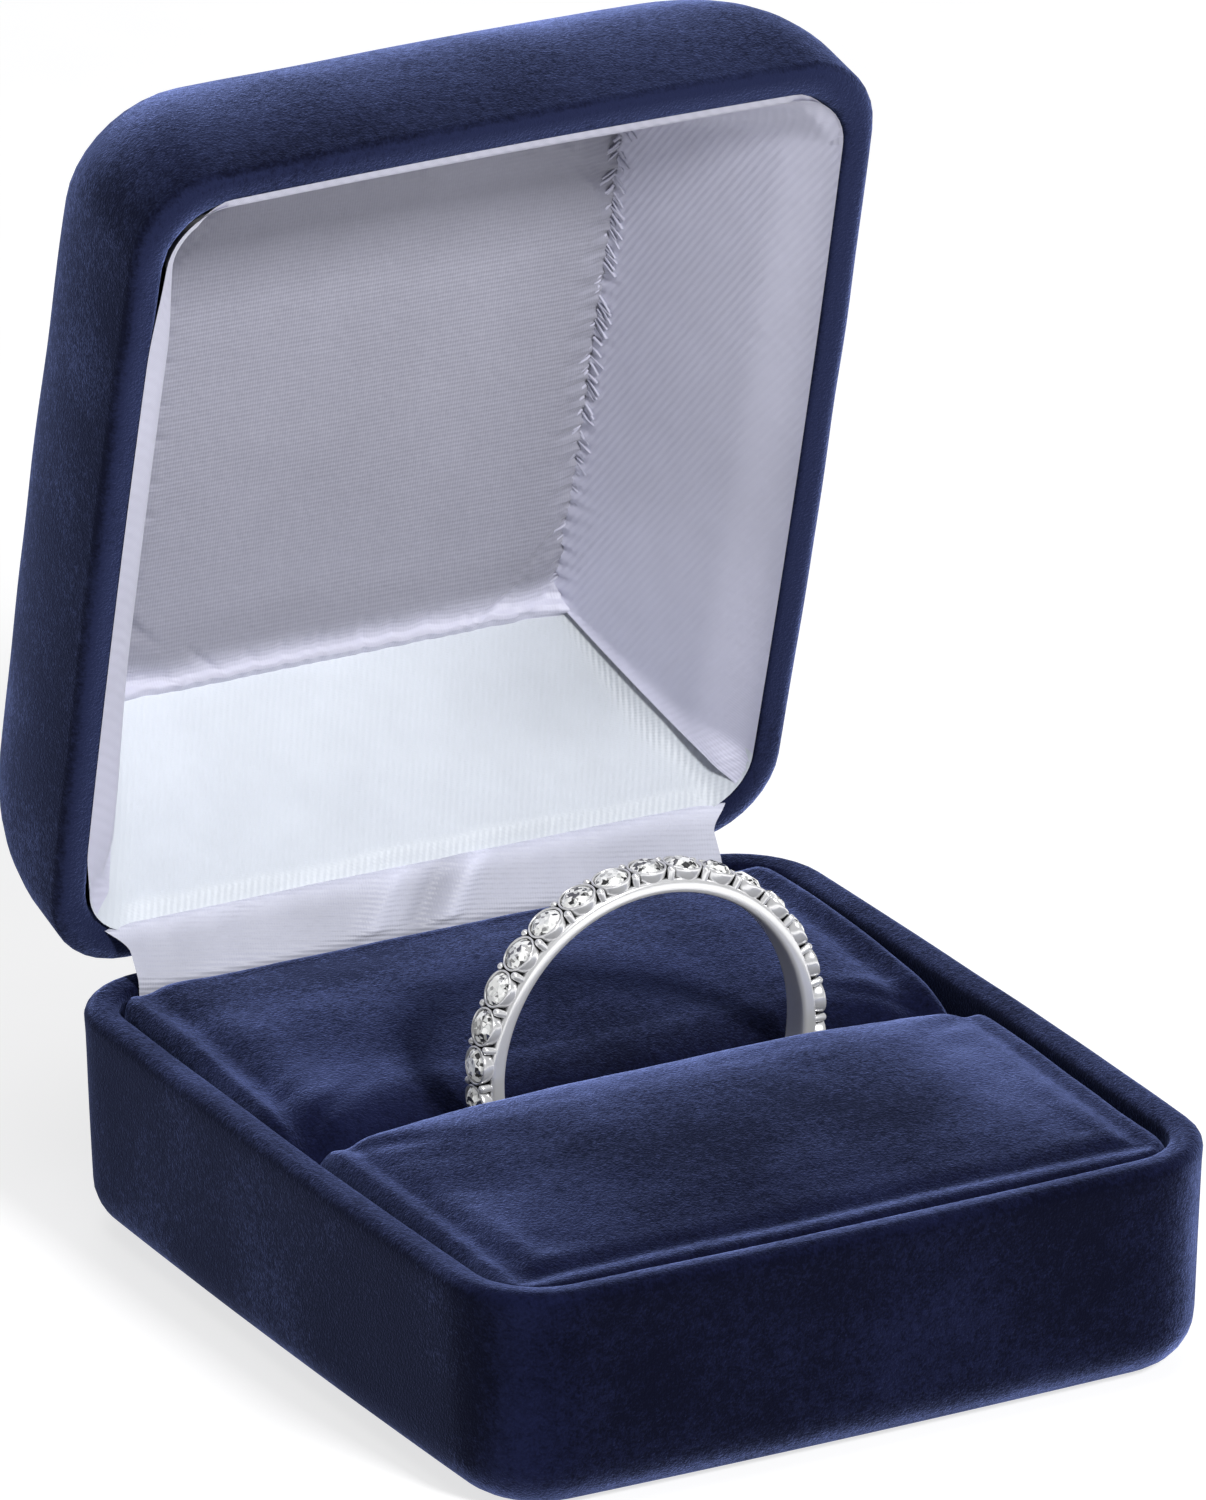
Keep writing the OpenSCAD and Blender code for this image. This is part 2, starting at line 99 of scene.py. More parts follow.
CARD_D = 13.6  # from the lid's rim to the top card
DEEP_X, DEEP_Y = 8.8, 9.8  # from the case's sides to the lining at the top card
WALL_TOP = 0.03  # from the rim to the satin walls' upper edges
PAD_X = HALF_W - 2.2  # half width of the cushions

# ---------- shape helpers ----------


def opened(points):
    """Points of the shut lid, swung to the rest position."""
    p = np.asarray(points, float)
    y, z = p[..., 1] - HINGE_Y, p[..., 2] - HINGE_Z
    c, s = math.cos(OPEN), math.sin(OPEN)
    return np.stack([p[..., 0], HINGE_Y + y * c + z * s, HINGE_Z - y * s + z * c], -1)


def rough(points, size, seed):
    """Smooth noise from -1 to 1 at each point; size is the feature size in mm."""
    shift = Vector((seed * 7.3, seed * 3.1, seed * 1.7))
    return np.array([noise.noise(Vector(p) / size + shift) for p in np.asarray(points)])


def bow(points, amount=0.45, hinge_side=0.15, pinch=0.22):
    """The case's sides bow outwards between its corners."""
    p = np.array(points, float)
    u, v = p[:, 0] / HALF_W, p[:, 1] / HALF_D
    grow_y = np.where(v > 0, hinge_side, amount)
    p[:, 0] += -pinch * u + amount * u * (1 - np.clip(v, -1, 1) ** 2)
    p[:, 1] += -pinch * v + grow_y * v * (1 - np.clip(u, -1, 1) ** 2)
    return p


def bell(x, width):
    return np.exp(-((x / width) ** 2))


def smoothstep(x, a, b):
    t = np.clip((x - a) / (b - a), 0, 1)
    return t * t * (3 - 2 * t)


def level_ring(hx, hy, r, z, along_x, along_y, n_corner=9):
    """Rounded rectangle at one height, counter-clockwise from the front end of its right side.

    along_x and along_y place the points of the straight sides, from -1 to 1.
    """
    r = min(r, hx - 0.01, hy - 0.01)
    cx, cy = hx - r, hy - r
    out = []
    for k in range(4):
        straight = (along_y if k % 2 == 0 else along_x) * (cy if k % 2 == 0 else cx)
        for s in straight[:-1]:
            out.append([(hx, s), (-s, hy), (-hx, -s), (s, -hy)][k])
        sx, sy = [(1, 1), (-1, 1), (-1, -1), (1, -1)][k]
        for t in np.linspace(0, 90, n_corner + 1)[:-1]:
            a = math.radians(t + 90 * k)
            out.append((sx * cx + r * math.cos(a), sy * cy + r * math.sin(a)))
    p = np.zeros((len(out), 3))
    p[:, :2] = out
    p[:, 2] = z
    return p


def grid_faces(rows, cols, wrap=False):
    faces = []
    for i in range(rows - 1):
        for j in range(cols if wrap else cols - 1):
            k = (j + 1) % cols
            faces.append((i * cols + j, i * cols + k, (i + 1) * cols + k, (i + 1) * cols + j))
    return faces


def make(name, points, faces, smooth=True, uv=None, outward=False):
    """Mesh object from points in mm, with an optional uv, one pair for each point, also in mm."""
    mesh = bpy.data.meshes.new(name)
    mesh.from_pydata((np.asarray(points, float) * MM).tolist(), [], faces)
    if outward:
        b = bmesh.new()
        b.from_mesh(mesh)
        bmesh.ops.remove_doubles(b, verts=b.verts, dist=1e-7)
        bmesh.ops.recalc_face_normals(b, faces=b.faces)
        b.to_mesh(mesh)
        b.free()
    mesh.polygons.foreach_set("use_smooth", [smooth] * len(mesh.polygons))
    if uv is not None:
        layer = mesh.uv_layers.new(name="cloth")
        index = np.zeros(len(mesh.loops), int)
        mesh.loops.foreach_get("vertex_index", index)
        layer.data.foreach_set("uv", np.asarray(uv, float)[index].ravel())
    mesh.update()
    obj = bpy.data.objects.new(name, mesh)
    bpy.context.scene.collection.objects.link(obj)
    return obj


def skin_between(outer, inner):
    """Points and faces of a closed skin.

    The outer rings run from the skin's hidden edge to a flat middle, the inner ones from the
    middle back to the edge.
    """
    n = len(outer[0])
    rings = outer + inner
    faces = grid_faces(len(rings), n, wrap=True)
    cut = (len(outer) - 1) * n  # the two middles are closed by a face each, not joined
    faces = [f for f in faces if not (min(f) >= cut and min(f) < cut + n)]
    faces.append(tuple(cut + i for i in range(n)))
    faces.append(tuple(cut + n + i for i in reversed(range(n))))
    last = (len(rings) - 1) * n
    faces += [(last + i, last + (i + 1) % n, (i + 1) % n, i) for i in range(n)]
    return np.concatenate(rings), faces


# ---------- materials ----------


def material(name, **sockets):
    m = bpy.data.materials.new(name)
    m.use_nodes = True
    bsdf = m.node_tree.nodes["Principled BSDF"]
    for key, value in sockets.items():
        bsdf.inputs[key.replace("_", " ")].default_value = value
    return m, m.node_tree.nodes, m.node_tree.links, bsdf


def add(nodes, kind, **values):
    n = nodes.new(kind)
    for key, value in values.items():
        if key in n.inputs:
            n.inputs[key].default_value = value
        else:
            setattr(n, key, value)
    return n


def noise_node(nodes, links, vector, scale, detail=2.0, roughness=0.5):
    n = add(nodes, "ShaderNodeTexNoise", Scale=scale, Detail=detail, Roughness=roughness)
    links.new(vector, n.inputs["Vector"])
    return n.outputs["Fac"]


def ramp(nodes, links, factor, stops):
    n = nodes.new("ShaderNodeValToRGB")
    while len(n.color_ramp.elements) < len(stops):
        n.color_ramp.elements.new(0.5)
    for e, (pos, color) in zip(n.color_ramp.elements, stops):
        e.position = pos
        e.color = (*color, 1)
    links.new(factor, n.inputs["Fac"])
    return n.outputs["Color"]


def math_node(nodes, links, kind, a, b):
    n = nodes.new("ShaderNodeMath")
    n.operation = kind
    for socket, v in zip(n.inputs, (a, b)):
        if isinstance(v, (int, float)):
            socket.default_value = v
        else:
            links.new(v, socket)
    return n.outputs[0]


def map_range(nodes, links, value, source, target):
    n = nodes.new("ShaderNodeMapRange")
    for key, v in zip(("From Min", "From Max", "To Min", "To Max"), (*source, *target)):
        n.inputs[key].default_value = v
    links.new(value, n.inputs["Value"])
    return n.outputs["Result"]


def bump(nodes, links, height, strength, distance, normal=None):
    n = add(nodes, "ShaderNodeBump", Strength=strength, Distance=distance)
    links.new(height, n.inputs["Height"])
    if normal is not None:
        links.new(normal, n.inputs["Normal"])
    return n.outputs["Normal"]


def velvet(name, dark, lit, tint, sheen):
    """Flocked velvet: nearly black face on, bluish at a grazing angle, with patches of lighter and
    darker nap, and grain.

    A mesh may carry an attribute from -1 to 1 that draws the velvet darker or lighter:
    partly how its nap lies, partly painted light and shade.
    """
    m, nodes, links, bsdf = material(
        name, Roughness=0.95, Specular_IOR_Level=0.05, Sheen_Roughness=0.42
    )
    bsdf.inputs["Sheen Tint"].default_value = (*tint, 1)
    at = nodes.new("ShaderNodeTexCoord").outputs["Object"]
    patches = noise_node(nodes, links, at, 110)
    tufts = noise_node(nodes, links, at, 1900, 1)
    grain = noise_node(nodes, links, at, 5600, 2, 0.7)
    # Painted light and shade from the mesh's attribute, partly standing for how the nap lies; it sets
    # both colour and sheen.
    pile_and_painted_light = add(nodes, "ShaderNodeAttribute", attribute_name="pile_and_painted_light").outputs["Fac"]
    mixed = math_node(nodes, links, "MULTIPLY", pile_and_painted_light, 0.17)
    for value, share in ((patches, 0.34), (tufts, 0.22), (grain, 0.44)):
        part = math_node(nodes, links, "MULTIPLY", value, share)
        mixed = math_node(nodes, links, "ADD", mixed, part)
    links.new(ramp(nodes, links, mixed, [(0.38, dark), (0.62, lit)]), bsdf.inputs["Base Color"])
    nap_and_painted_sheen = map_range(nodes, links, mixed, (0.36, 0.66), (sheen * 0.35, sheen * 1.4))
    facing = add(nodes, "ShaderNodeLayerWeight", Blend=0.5).outputs["Facing"]
    grazing = map_range(nodes, links, facing, (0.12, 0.62), (0.30, 1.0))
    links.new(math_node(nodes, links, "MULTIPLY", nap_and_painted_sheen, grazing), bsdf.inputs["Sheen Weight"])
    soft = bump(nodes, links, tufts, 0.10, 0.00015)
    links.new(bump(nodes, links, grain, 0.8, 0.00010, soft), bsdf.inputs["Normal"])
    return m


CROSS_THREAD = 0.16  # pitch of the satin's cross threads


def satin(name, angle, period, color, depth):
    """Lining satin: a fine rib or twill along one direction of the cloth, and a soft sheen.

    period is the rib's pitch in mm. The mesh carries a "shade" attribute: painted light and shade,
    how much lighter or darker the satin is drawn than its own colour.
    """
    m, nodes, links, bsdf = material(
        name, Roughness=0.46, Specular_IOR_Level=0.45, Sheen_Weight=0.25, Sheen_Roughness=0.4,
        Anisotropic=0.4,
    )
    uv = nodes.new("ShaderNodeTexCoord").outputs["UV"]
    spots = noise_node(nodes, links, uv, 0.35, 3)
    cloth = ramp(nodes, links, spots, [(0.3, tuple(c * 0.95 for c in color)), (0.7, color)])
    shade = add(nodes, "ShaderNodeAttribute", attribute_name="shade").outputs["Fac"]
    shaded = add(nodes, "ShaderNodeVectorMath", operation="SCALE")
    links.new(cloth, shaded.inputs[0])
    links.new(shade, shaded.inputs["Scale"])
    links.new(shaded.outputs["Vector"], bsdf.inputs["Base Color"])
    turned = add(nodes, "ShaderNodeMapping", Rotation=(0, 0, math.radians(angle)))
    links.new(uv, turned.inputs["Vector"])
    heights = []
    for direction, gap in (("X", period), ("Y", CROSS_THREAD)):
        w = add(
            nodes, "ShaderNodeTexWave", bands_direction=direction, Scale=math.pi / 10 / gap,
            Distortion=0.6, Detail=1.5,
        )
        w.inputs["Detail Scale"].default_value = 3.0
        links.new(turned.outputs["Vector"], w.inputs["Vector"])
        heights.append(w.outputs["Fac"])
    rib, thread = (
        math_node(nodes, links, "MULTIPLY", h, share) for h, share in zip(heights, (0.75, 0.25))
    )
    weave = math_node(nodes, links, "ADD", rib, thread)
    slub = bump(nodes, links, noise_node(nodes, links, uv, 1.3, 3), 0.25, 0.0002)
    links.new(bump(nodes, links, weave, depth, 0.00006, slub), bsdf.inputs["Normal"])
    return m


def plain(name, color, roughness, metallic=0.0, grain=900, depth=0.1):
    """Solid material with a little procedural unevenness in colour and relief."""
    m, nodes, links, bsdf = material(name, Roughness=roughness, Metallic=metallic)
    at = nodes.new("ShaderNodeTexCoord").outputs["Object"]
    fac = noise_node(nodes, links, at, grain, 3)
    mottled = ramp(nodes, links, fac, [(0.3, tuple(c * 0.9 for c in color)), (0.7, color)])
    links.new(mottled, bsdf.inputs["Base Color"])
    links.new(bump(nodes, links, fac, depth, 0.00005), bsdf.inputs["Normal"])
    return m


NAVY, NAVY_LIT = (0.002, 0.0025, 0.010), (0.0065, 0.0085, 0.033)
NAVY_TINT = (0.35, 0.45, 0.99)
mat_case = velvet("case_velvet", NAVY, NAVY_LIT, NAVY_TINT, 0.8)
# The lid's velvet is a lighter copy of the case's, with more sheen: painted light.
mat_lid = velvet("lid_velvet", (0.004, 0.005, 0.016), (0.013, 0.017, 0.050), NAVY_TINT, 1.0)
mat_pad = velvet("cushion_velvet", NAVY, NAVY_LIT, NAVY_TINT, 1.05)
# The four satins are one cloth: their colours differ as painted light and shade, darkest on the top
# panel, lightest on the hinge-side wall.
mat_satin_top = satin("satin_fine_rib", 90, 0.30, (0.33, 0.33, 0.395), 0.35)
mat_satin_side = satin("satin_twill", 62, 0.42, (0.54, 0.54, 0.655), 0.5)
mat_satin_hinge = satin("satin_steep_twill", 25, 0.40, (0.66, 0.70, 0.755), 0.4)
mat_satin_flap = satin("satin_rib", 80, 0.30, (0.50, 0.51, 0.60), 0.5)
mat_thread = plain("satin_thread", (0.48, 0.48, 0.585), 0.6)
WHITE_GOLD = (0.90, 0.90, 0.91)
mat_metal = plain("white_gold", WHITE_GOLD, 0.20, 0.55, 400, 0.05)
metal_nodes, metal_links = mat_metal.node_tree.nodes, mat_metal.node_tree.links
# Painted shade: the metal's colour goes dark where the seats and beads stand closer together than 0.9
# mm.
painted_crevice_shade = add(metal_nodes, "ShaderNodeAmbientOcclusion", Distance=0.9 * MM).outputs["AO"]
metal_links.new(
    ramp(metal_nodes, metal_links, painted_crevice_shade, [(0.22, (0.03, 0.03, 0.035)), (0.62, WHITE_GOLD)]),
    metal_nodes["Principled BSDF"].inputs["Base Color"],
)
mat_steel = plain("hinge_steel", (0.45, 0.46, 0.48), 0.35, 1.0)
mat_card = plain("card", (0.52, 0.48, 0.40), 0.9)
mat_shell = plain("moulded_shell", (0.012, 0.013, 0.020), 0.5)
mat_board = plain("black_board", (0.008, 0.009, 0.016), 0.9)
# The stone's colour is painted sparkle: random dark and white facets and cells stand in for its
# reflections, and it glows a little as painted light.
mat_stone, stone_nodes, stone_links, stone_bsdf = material(
    "stone", Roughness=0.03, IOR=2.3, Transmission_Weight=0.1, Specular_IOR_Level=0.7
)
facet = add(stone_nodes, "ShaderNodeAttribute", attribute_name="facet").outputs["Fac"]
painted_glint_cells = add(stone_nodes, "ShaderNodeTexVoronoi", Scale=3900)  # painted glints, standing in for the facets seen below
stone_at = stone_nodes.new("ShaderNodeTexCoord").outputs["Object"]
stone_links.new(stone_at, painted_glint_cells.inputs["Vector"])
split = stone_nodes.new("ShaderNodeSeparateColor")
stone_links.new(painted_glint_cells.outputs["Color"], split.inputs["Color"])
painted_glints = math_node(
    stone_nodes, stone_links, "ADD",
    math_node(stone_nodes, stone_links, "MULTIPLY", facet, 0.42),
    math_node(stone_nodes, stone_links, "MULTIPLY", split.outputs["Red"], 0.58),
)
PAINTED_SPARKLE = [(0.0, (0.01, 0.01, 0.012)), (0.31, (0.03, 0.03, 0.03)), (0.38, (0.26, 0.26, 0.26))]
PAINTED_SPARKLE += [(0.50, (0.72, 0.73, 0.72)), (0.66, (0.99, 0.99, 0.97))]
painted_sparkle = ramp(stone_nodes, stone_links, painted_glints, PAINTED_SPARKLE)
stone_links.new(painted_sparkle, stone_bsdf.inputs["Base Color"])
stone_links.new(painted_sparkle, stone_bsdf.inputs["Emission Color"])
stone_bsdf.inputs["Emission Strength"].default_value = 0.20  # painted glow, standing in for light returned from inside


def read(obj, what="co"):
    values = np.zeros(len(obj.data.vertices) * 3)
    obj.data.vertices.foreach_get(what, values)
    return values.reshape(-1, 3)


def write(obj, co):
    obj.data.vertices.foreach_set("co", np.asarray(co, np.float32).ravel())
    obj.data.update()


def attribute(obj, name, values, domain="POINT"):
    layer = obj.data.attributes.new(name, "FLOAT", domain)
    layer.data.foreach_set("value", np.asarray(values, np.float32))


def paint_nap_and_light(obj, spots=(), sides=0.0, front=0.0):
    """Velvet attribute of painted light and shade, partly how the nap lies, from soft spots:
    (x, y, width across, width deep, amount) in mm.

    sides is for what faces left or right; front is for what faces forward, which is the base's
    front wall and the open lid's rim.
    """
    p, n = read(obj) / MM, read(obj, "normal")
    value = sides * smoothstep(np.abs(n[:, 0]), 0.62, 0.98)
    value += front * smoothstep(-n[:, 1], 0.72, 0.97)
    for x, y, across, deep, amount in spots:
        value += amount * bell(p[:, 0] - x, across) * bell(p[:, 1] - y, deep)
    attribute(obj, "pile_and_painted_light", np.clip(value, -1, 1))


def finish_piece(obj, body, mat, replaces=()):
    obj.data.materials.clear()
    obj.data.materials.append(mat)
    if body:
        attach(obj, body)
    if replaces:
        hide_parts(*replaces)
    return obj


# ---------- case: base ----------

# Positions along the case's straight sides, with close pairs at the ends of the hinge barrel.
BASE_X = np.unique(
    np.concatenate(
        [np.linspace(-1, 1, 25), [-0.797, -0.786, 0.786, 0.797], np.linspace(-0.85, 0.85, 15)]
    )
)
SIDE_Y = np.linspace(-1, 1, 27)


def arc(cx, cz, r, a, b, n):
    t = np.radians(np.linspace(a, b, n))
    return [(cx + r * math.cos(v), cz + r * math.sin(v)) for v in t]


def base_outline():
    """(inset, height) from the wrap's lower edge, over the rim and down to the underside."""

    def draft(z):
        return DRAFT * (1 - z / BASE_H)

    rim = [(MOUTH, BASE_H - WRAP), (MOUTH, 11.0), (MOUTH, 12.6)]
    rim += arc(MOUTH - 0.5, BASE_H - 0.62, 0.5, 0, 90, 5)
    rim += [(1.25, BASE_H - 0.05)]
    rim += arc(CREST_R, BASE_H - CREST_R, CREST_R, 90, 180, 6)
    wall = [(draft(z), z) for z in (12.0, 10.6, 9.0, 7.4, 5.8, 4.4)]
    low = FOOT_R + draft(FOOT_R)
    foot = arc(low, FOOT_R, FOOT_R, 180, 270, 8)
    return rim + wall + foot + [(6.5, 0.0), (11.0, 0.0), (17.0, 0.0), (21.5, 0.0)]


def push_from_barrel(p, room=BARREL_ROOM):
    """Points inside the hinge barrel's room move out to its wall."""
    y, z = p[:, 1] - HINGE_Y, p[:, 2] - HINGE_Z
    r = np.hypot(y, z)
    hit = (np.abs(p[:, 0]) < BARREL_HALF) & (r < room)
    scale = np.where(hit, room / np.maximum(r, 1e-6), 1.0)
    p[:, 1] = HINGE_Y + y * scale
    p[:, 2] = HINGE_Z + z * scale
    return p


def base_ring(inset, z):
    r = max(CORNER_R - inset, 0.35)
    return level_ring(HALF_W - inset, HALF_D - inset, r, z, BASE_X, SIDE_Y)


outer = [push_from_barrel(bow(base_ring(i, z))) for i, z in base_outline()]
for r in outer:  # slightly uneven, except round the foot
    away = r[:, :2] / np.linalg.norm(r[:, :2], axis=1)[:, None]
    fade = np.clip(r[:, 2:3] / 3, 0, 1)
    r[:, :2] += away * (0.07 * rough(r, 7, 1)[:, None]) * fade
inner_line = [(21.0, SKIN), (14.0, SKIN), (8.0, SKIN)]
inner_line += [(FOOT_R + DRAFT * 0.8, SKIN), (SKIN + 1.6, 1.2), (SKIN + DRAFT * 0.7, 3.2)]
inner_line += [(SKIN + 0.2, 8.0), (SKIN, 12.4), (SKIN + 0.2, BASE_H - 0.48)]
inner_line += [(1.4, BASE_H - 0.48), (1.62, BASE_H - 0.6), (1.62, BASE_H - WRAP)]
inner = [push_from_barrel(bow(base_ring(i, z)), BARREL_ROOM + SKIN_STEP) for i, z in inner_line]
base_skin = make("base_velvet_skin", *skin_between(outer, inner), outward=True)
# Painted shade on the base's side and front walls and painted light on its front-left corner, partly
# standing for the nap lying down the walls.
paint_nap_and_light(base_skin, [(-HALF_W, -HALF_D, 3.2, 3.2, 0.7)], sides=-0.9, front=-0.45)
finish_piece(base_skin, "base", mat_case, ["base_velvet"])

# ---------- case: lid ----------

LID_X = np.unique(
    np.concatenate(
        [np.linspace(-1, 1, 25), [-0.765, -0.752, 0.752, 0.765], np.linspace(-0.8, 0.8, 13)]
    )
)


def lid_ring(inset, skin, z):
    r = max(LID_CORNER - skin, 0.5) + LID_GROWTH * inset
    hx, hy = HALF_W - skin - inset, HALF_D - skin - inset
    return level_ring(hx, hy, min(r, hx - 0.02), z + MOUTH_Z, LID_X, SIDE_Y)


def pillow(skin, steps, start=6):
    """Rings from the lid's side, start degrees up, to the top of its pillow."""
    reach, rise = HALF_W - skin, LID_H - skin
    out = []
    for t in np.radians(np.linspace(start, 87.5, steps)):
        inset = reach * (1 - math.cos(t) ** (2 / 3))
        out.append(lid_ring(inset, skin, rise * math.sin(t) ** (2 / 2.95)))
    return out


def lid_wrap_ring(inset, z):
    hx, hy = HALF_W - inset, HALF_D - inset
    return level_ring(hx, hy, CORNER_R - inset, z + MOUTH_Z, LID_X, SIDE_Y)


lid_outer = [lid_wrap_ring(MOUTH, z) for z in (WRAP, 3.4, 1.8)]
lid_outer += [lid_wrap_ring(i, z) for i, z in arc(MOUTH - 0.45, 0.55, 0.45, 0, -90, 5)]
lid_outer += [lid_ring(1.15, 0, 0.03)]
lid_outer += [lid_ring(i, 0, z) for i, z in arc(CREST_R, CREST_R, CREST_R, -90, -180, 6)]
lid_outer += pillow(0, 34)
lid_outer = [push_from_barrel(bow(r, LID_BOW)) for r in lid_outer]
IN_RIM = 9  # the first rings of lid_outer lie inside the rim and on its crest
centre = np.array([0, 0, MOUTH_Z + 4])
for k, r in enumerate(lid_outer):
    wave = rough(r, 8, 2)
    away = (r - centre) / np.linalg.norm(r - centre, axis=1)[:, None]
    r += away * (0.09 * wave * (0.35 if k < IN_RIM else 1.0))[:, None]
    if 1 <= k < IN_RIM:  # the flock's cut edge is a little ragged
        r[:, :2] *= (1 + 0.0032 * rough(r, 0.9, 5))[:, None]
lid_inner = list(reversed(pillow(SKIN, 14, 7)))
lid_inner += [lid_ring(0.0, SKIN, 0.9), lid_ring(0.1, SKIN, SKIN)]
lid_inner += [lid_ring(0.9, SKIN, SKIN), lid_wrap_ring(1.62, 0.6), lid_wrap_ring(1.62, WRAP)]
lid_inner = [push_from_barrel(bow(r, LID_BOW), BARREL_ROOM + SKIN_STEP) for r in lid_inner]
points, faces = skin_between(lid_outer, lid_inner)
lid_skin = make("lid_velvet_skin", opened(points), faces, outward=True)
# Painted shade on the lid's sides and painted light on its forward-facing rim, partly standing for how
# the nap lies.
paint_nap_and_light(lid_skin, sides=-0.7, front=1.0)
finish_piece(lid_skin, "lid", mat_lid, ["lid_velvet"])

# ---------- cushions ----------

CLOTH_SCALE = 20.0  # cloth behaves better on a bigger piece, so it is simulated enlarged
CLOTH_FRAMES = 20
MAX_SWELL = 0.9  # no point of a cushion moves further than this, in mm


def run_cloth(obj, pin, pressure, stiffness=12.0, shrink=0.0):
    """Steps Blender's cloth and returns where the points end, in the object's own units.

    pin holds each point: 1 fast, 0 free.
    """
    group = obj.vertex_groups.new(name="pin")
    for w in sorted(set(np.round(pin, 2))):
        if w > 0:
            group.add([int(i) for i in np.nonzero(np.round(pin, 2) == w)[0]], float(w), "REPLACE")
    cloth = obj.modifiers.new("cloth", "CLOTH")
    s = cloth.settings
    s.quality = 6
    s.mass = 0.3
    s.tension_stiffness = s.compression_stiffness = stiffness
    s.shear_stiffness = 5
    s.bending_stiffness = 0.6
    s.use_pressure = pressure != 0
    s.uniform_pressure_force = pressure
    s.vertex_group_mass = "pin"
    s.shrink_min = shrink
    s.effector_weights.gravity = 0
    cloth.point_cache.frame_end = CLOTH_FRAMES
    scene = bpy.context.scene
    for f in range(1, CLOTH_FRAMES + 1):
        scene.frame_set(f)
    ended = read(obj.evaluated_get(bpy.context.evaluated_depsgraph_get()))
    obj.modifiers.remove(cloth)
    obj.vertex_groups.remove(group)
    scene.frame_set(1)
    return ended


def capped(move, limit):
    """Moves, none of them longer than the limit."""
    length = np.linalg.norm(move, axis=1)
    return move * np.minimum(1, limit / np.maximum(length, 1e-9))[:, None]


def subdivide(obj):
    sub = obj.modifiers.new("smooth", "SUBSURF")
    sub.levels = sub.render_levels = 1
    bpy.context.view_layer.update()
    done = bpy.data.meshes.new_from_object(
        obj.evaluated_get(bpy.context.evaluated_depsgraph_get())
    )
    obj.modifiers.remove(sub)
    obj.data = done


def swollen(name, node, edge_pin):
    """A copy of the CAD foam's mesh, remeshed and swollen by cloth pressure.

    Returns the object, its points in mm, and how far each of them moved.
    """
    mesh = frame["nodes"][node].data.copy()
    obj = bpy.data.objects.new(name, mesh)
    bpy.context.scene.collection.objects.link(obj)
    write(obj, read(obj) * CLOTH_SCALE)
    bpy.context.view_layer.objects.active = obj
    obj.data.remesh_voxel_size = 0.5 * MM * CLOTH_SCALE
    obj.data.remesh_voxel_adaptivity = 0
    bpy.ops.object.voxel_remesh()
    start = read(obj)
    mm = start / CLOTH_SCALE / MM
    top = mm[:, 2].max()
    pin = np.maximum(1 - smoothstep(mm[:, 2], top - 5, top - 2.2), edge_pin(mm))
    move = capped((run_cloth(obj, pin, 4.0) - start) / CLOTH_SCALE / MM, MAX_SWELL)
    write(obj, mm + move)
    return obj, move


def roll(d, n):
    """Quarter-round profile: 0 at the edge, 1 from n on."""
    return np.sqrt(np.clip(1 - (1 - np.clip(d / n, 0, 1)) ** 2, 0, 1))


def local_top(p):
    """Height of the mesh's top over each of its points, from a coarse height map."""
    cell = 0.8
    key = np.floor((p[:, :2] - p[:, :2].min(0)) / cell).astype(int)
    size = key.max(0) + 3
    grid = np.full(size, -1.0)
    np.maximum.at(grid, (key[:, 0] + 1, key[:, 1] + 1), p[:, 2])
    around = [np.roll(grid, (i, j), (0, 1)) for i in (-1, 0, 1) for j in (-1, 0, 1)]
    known = [np.where(g > 0, g, 0) for g in around]
    count = sum((g > 0).astype(float) for g in around)
    mean = sum(known) / np.maximum(count, 1)
    f = (p[:, :2] - p[:, :2].min(0)) / cell + 0.5
    i, j = np.floor(f).astype(int).T
    u, v = (f - np.floor(f)).T

    def at(a, b):
        return mean[np.minimum(a, size[0] - 1), np.minimum(b, size[1] - 1)]

    near = at(i, j) * (1 - u) + at(i + 1, j) * u
    far = at(i, j + 1) * (1 - u) + at(i + 1, j + 1) * u
    return near * (1 - v) + far * v


def dress_cushion(obj, move, heights, seed, low, high):
    """Puts the cushion's crown, edge roll and hand-tucked unevenness onto the swollen mesh.

    heights gives the top's height at a place in plan; low and high are the cover's box.
    """
    p = read(obj)
    for k in (0, 1):  # the foam is smaller than its cover: grow it to the cover's plan
        a, b = p[:, k].min(), p[:, k].max()
        p[:, k] = low[k] + (p[:, k] - a) * (high[k] - low[k]) / (b - a)
    foot = p[:, 2].min() + 3
    top = np.maximum(local_top(p), foot + 1)
    share = np.clip((p[:, 2] - foot) / (top - foot), 0, 1.05)
    target = heights(p[:, 0], p[:, 1])
    target += 0.08 * rough(p * [1, 1, 0], 5.5, seed) + 0.03 * rough(p * [1, 1, 0], 2.2, seed + 1)
    puff = move[:, 2] - move[:, 2][share > 0.9].mean() if np.any(move) else 0
    p[:, 2] += share * (target - top + 0.35 * puff * smoothstep(share, 0.6, 1))
    write(obj, bow(p) * MM)
    subdivide(obj)
    for poly in obj.data.polygons:
        poly.use_smooth = True


f_low, f_high = box_mm("front_cushion_velvet")
r_low, r_high = box_mm("rear_cushion_velvet")


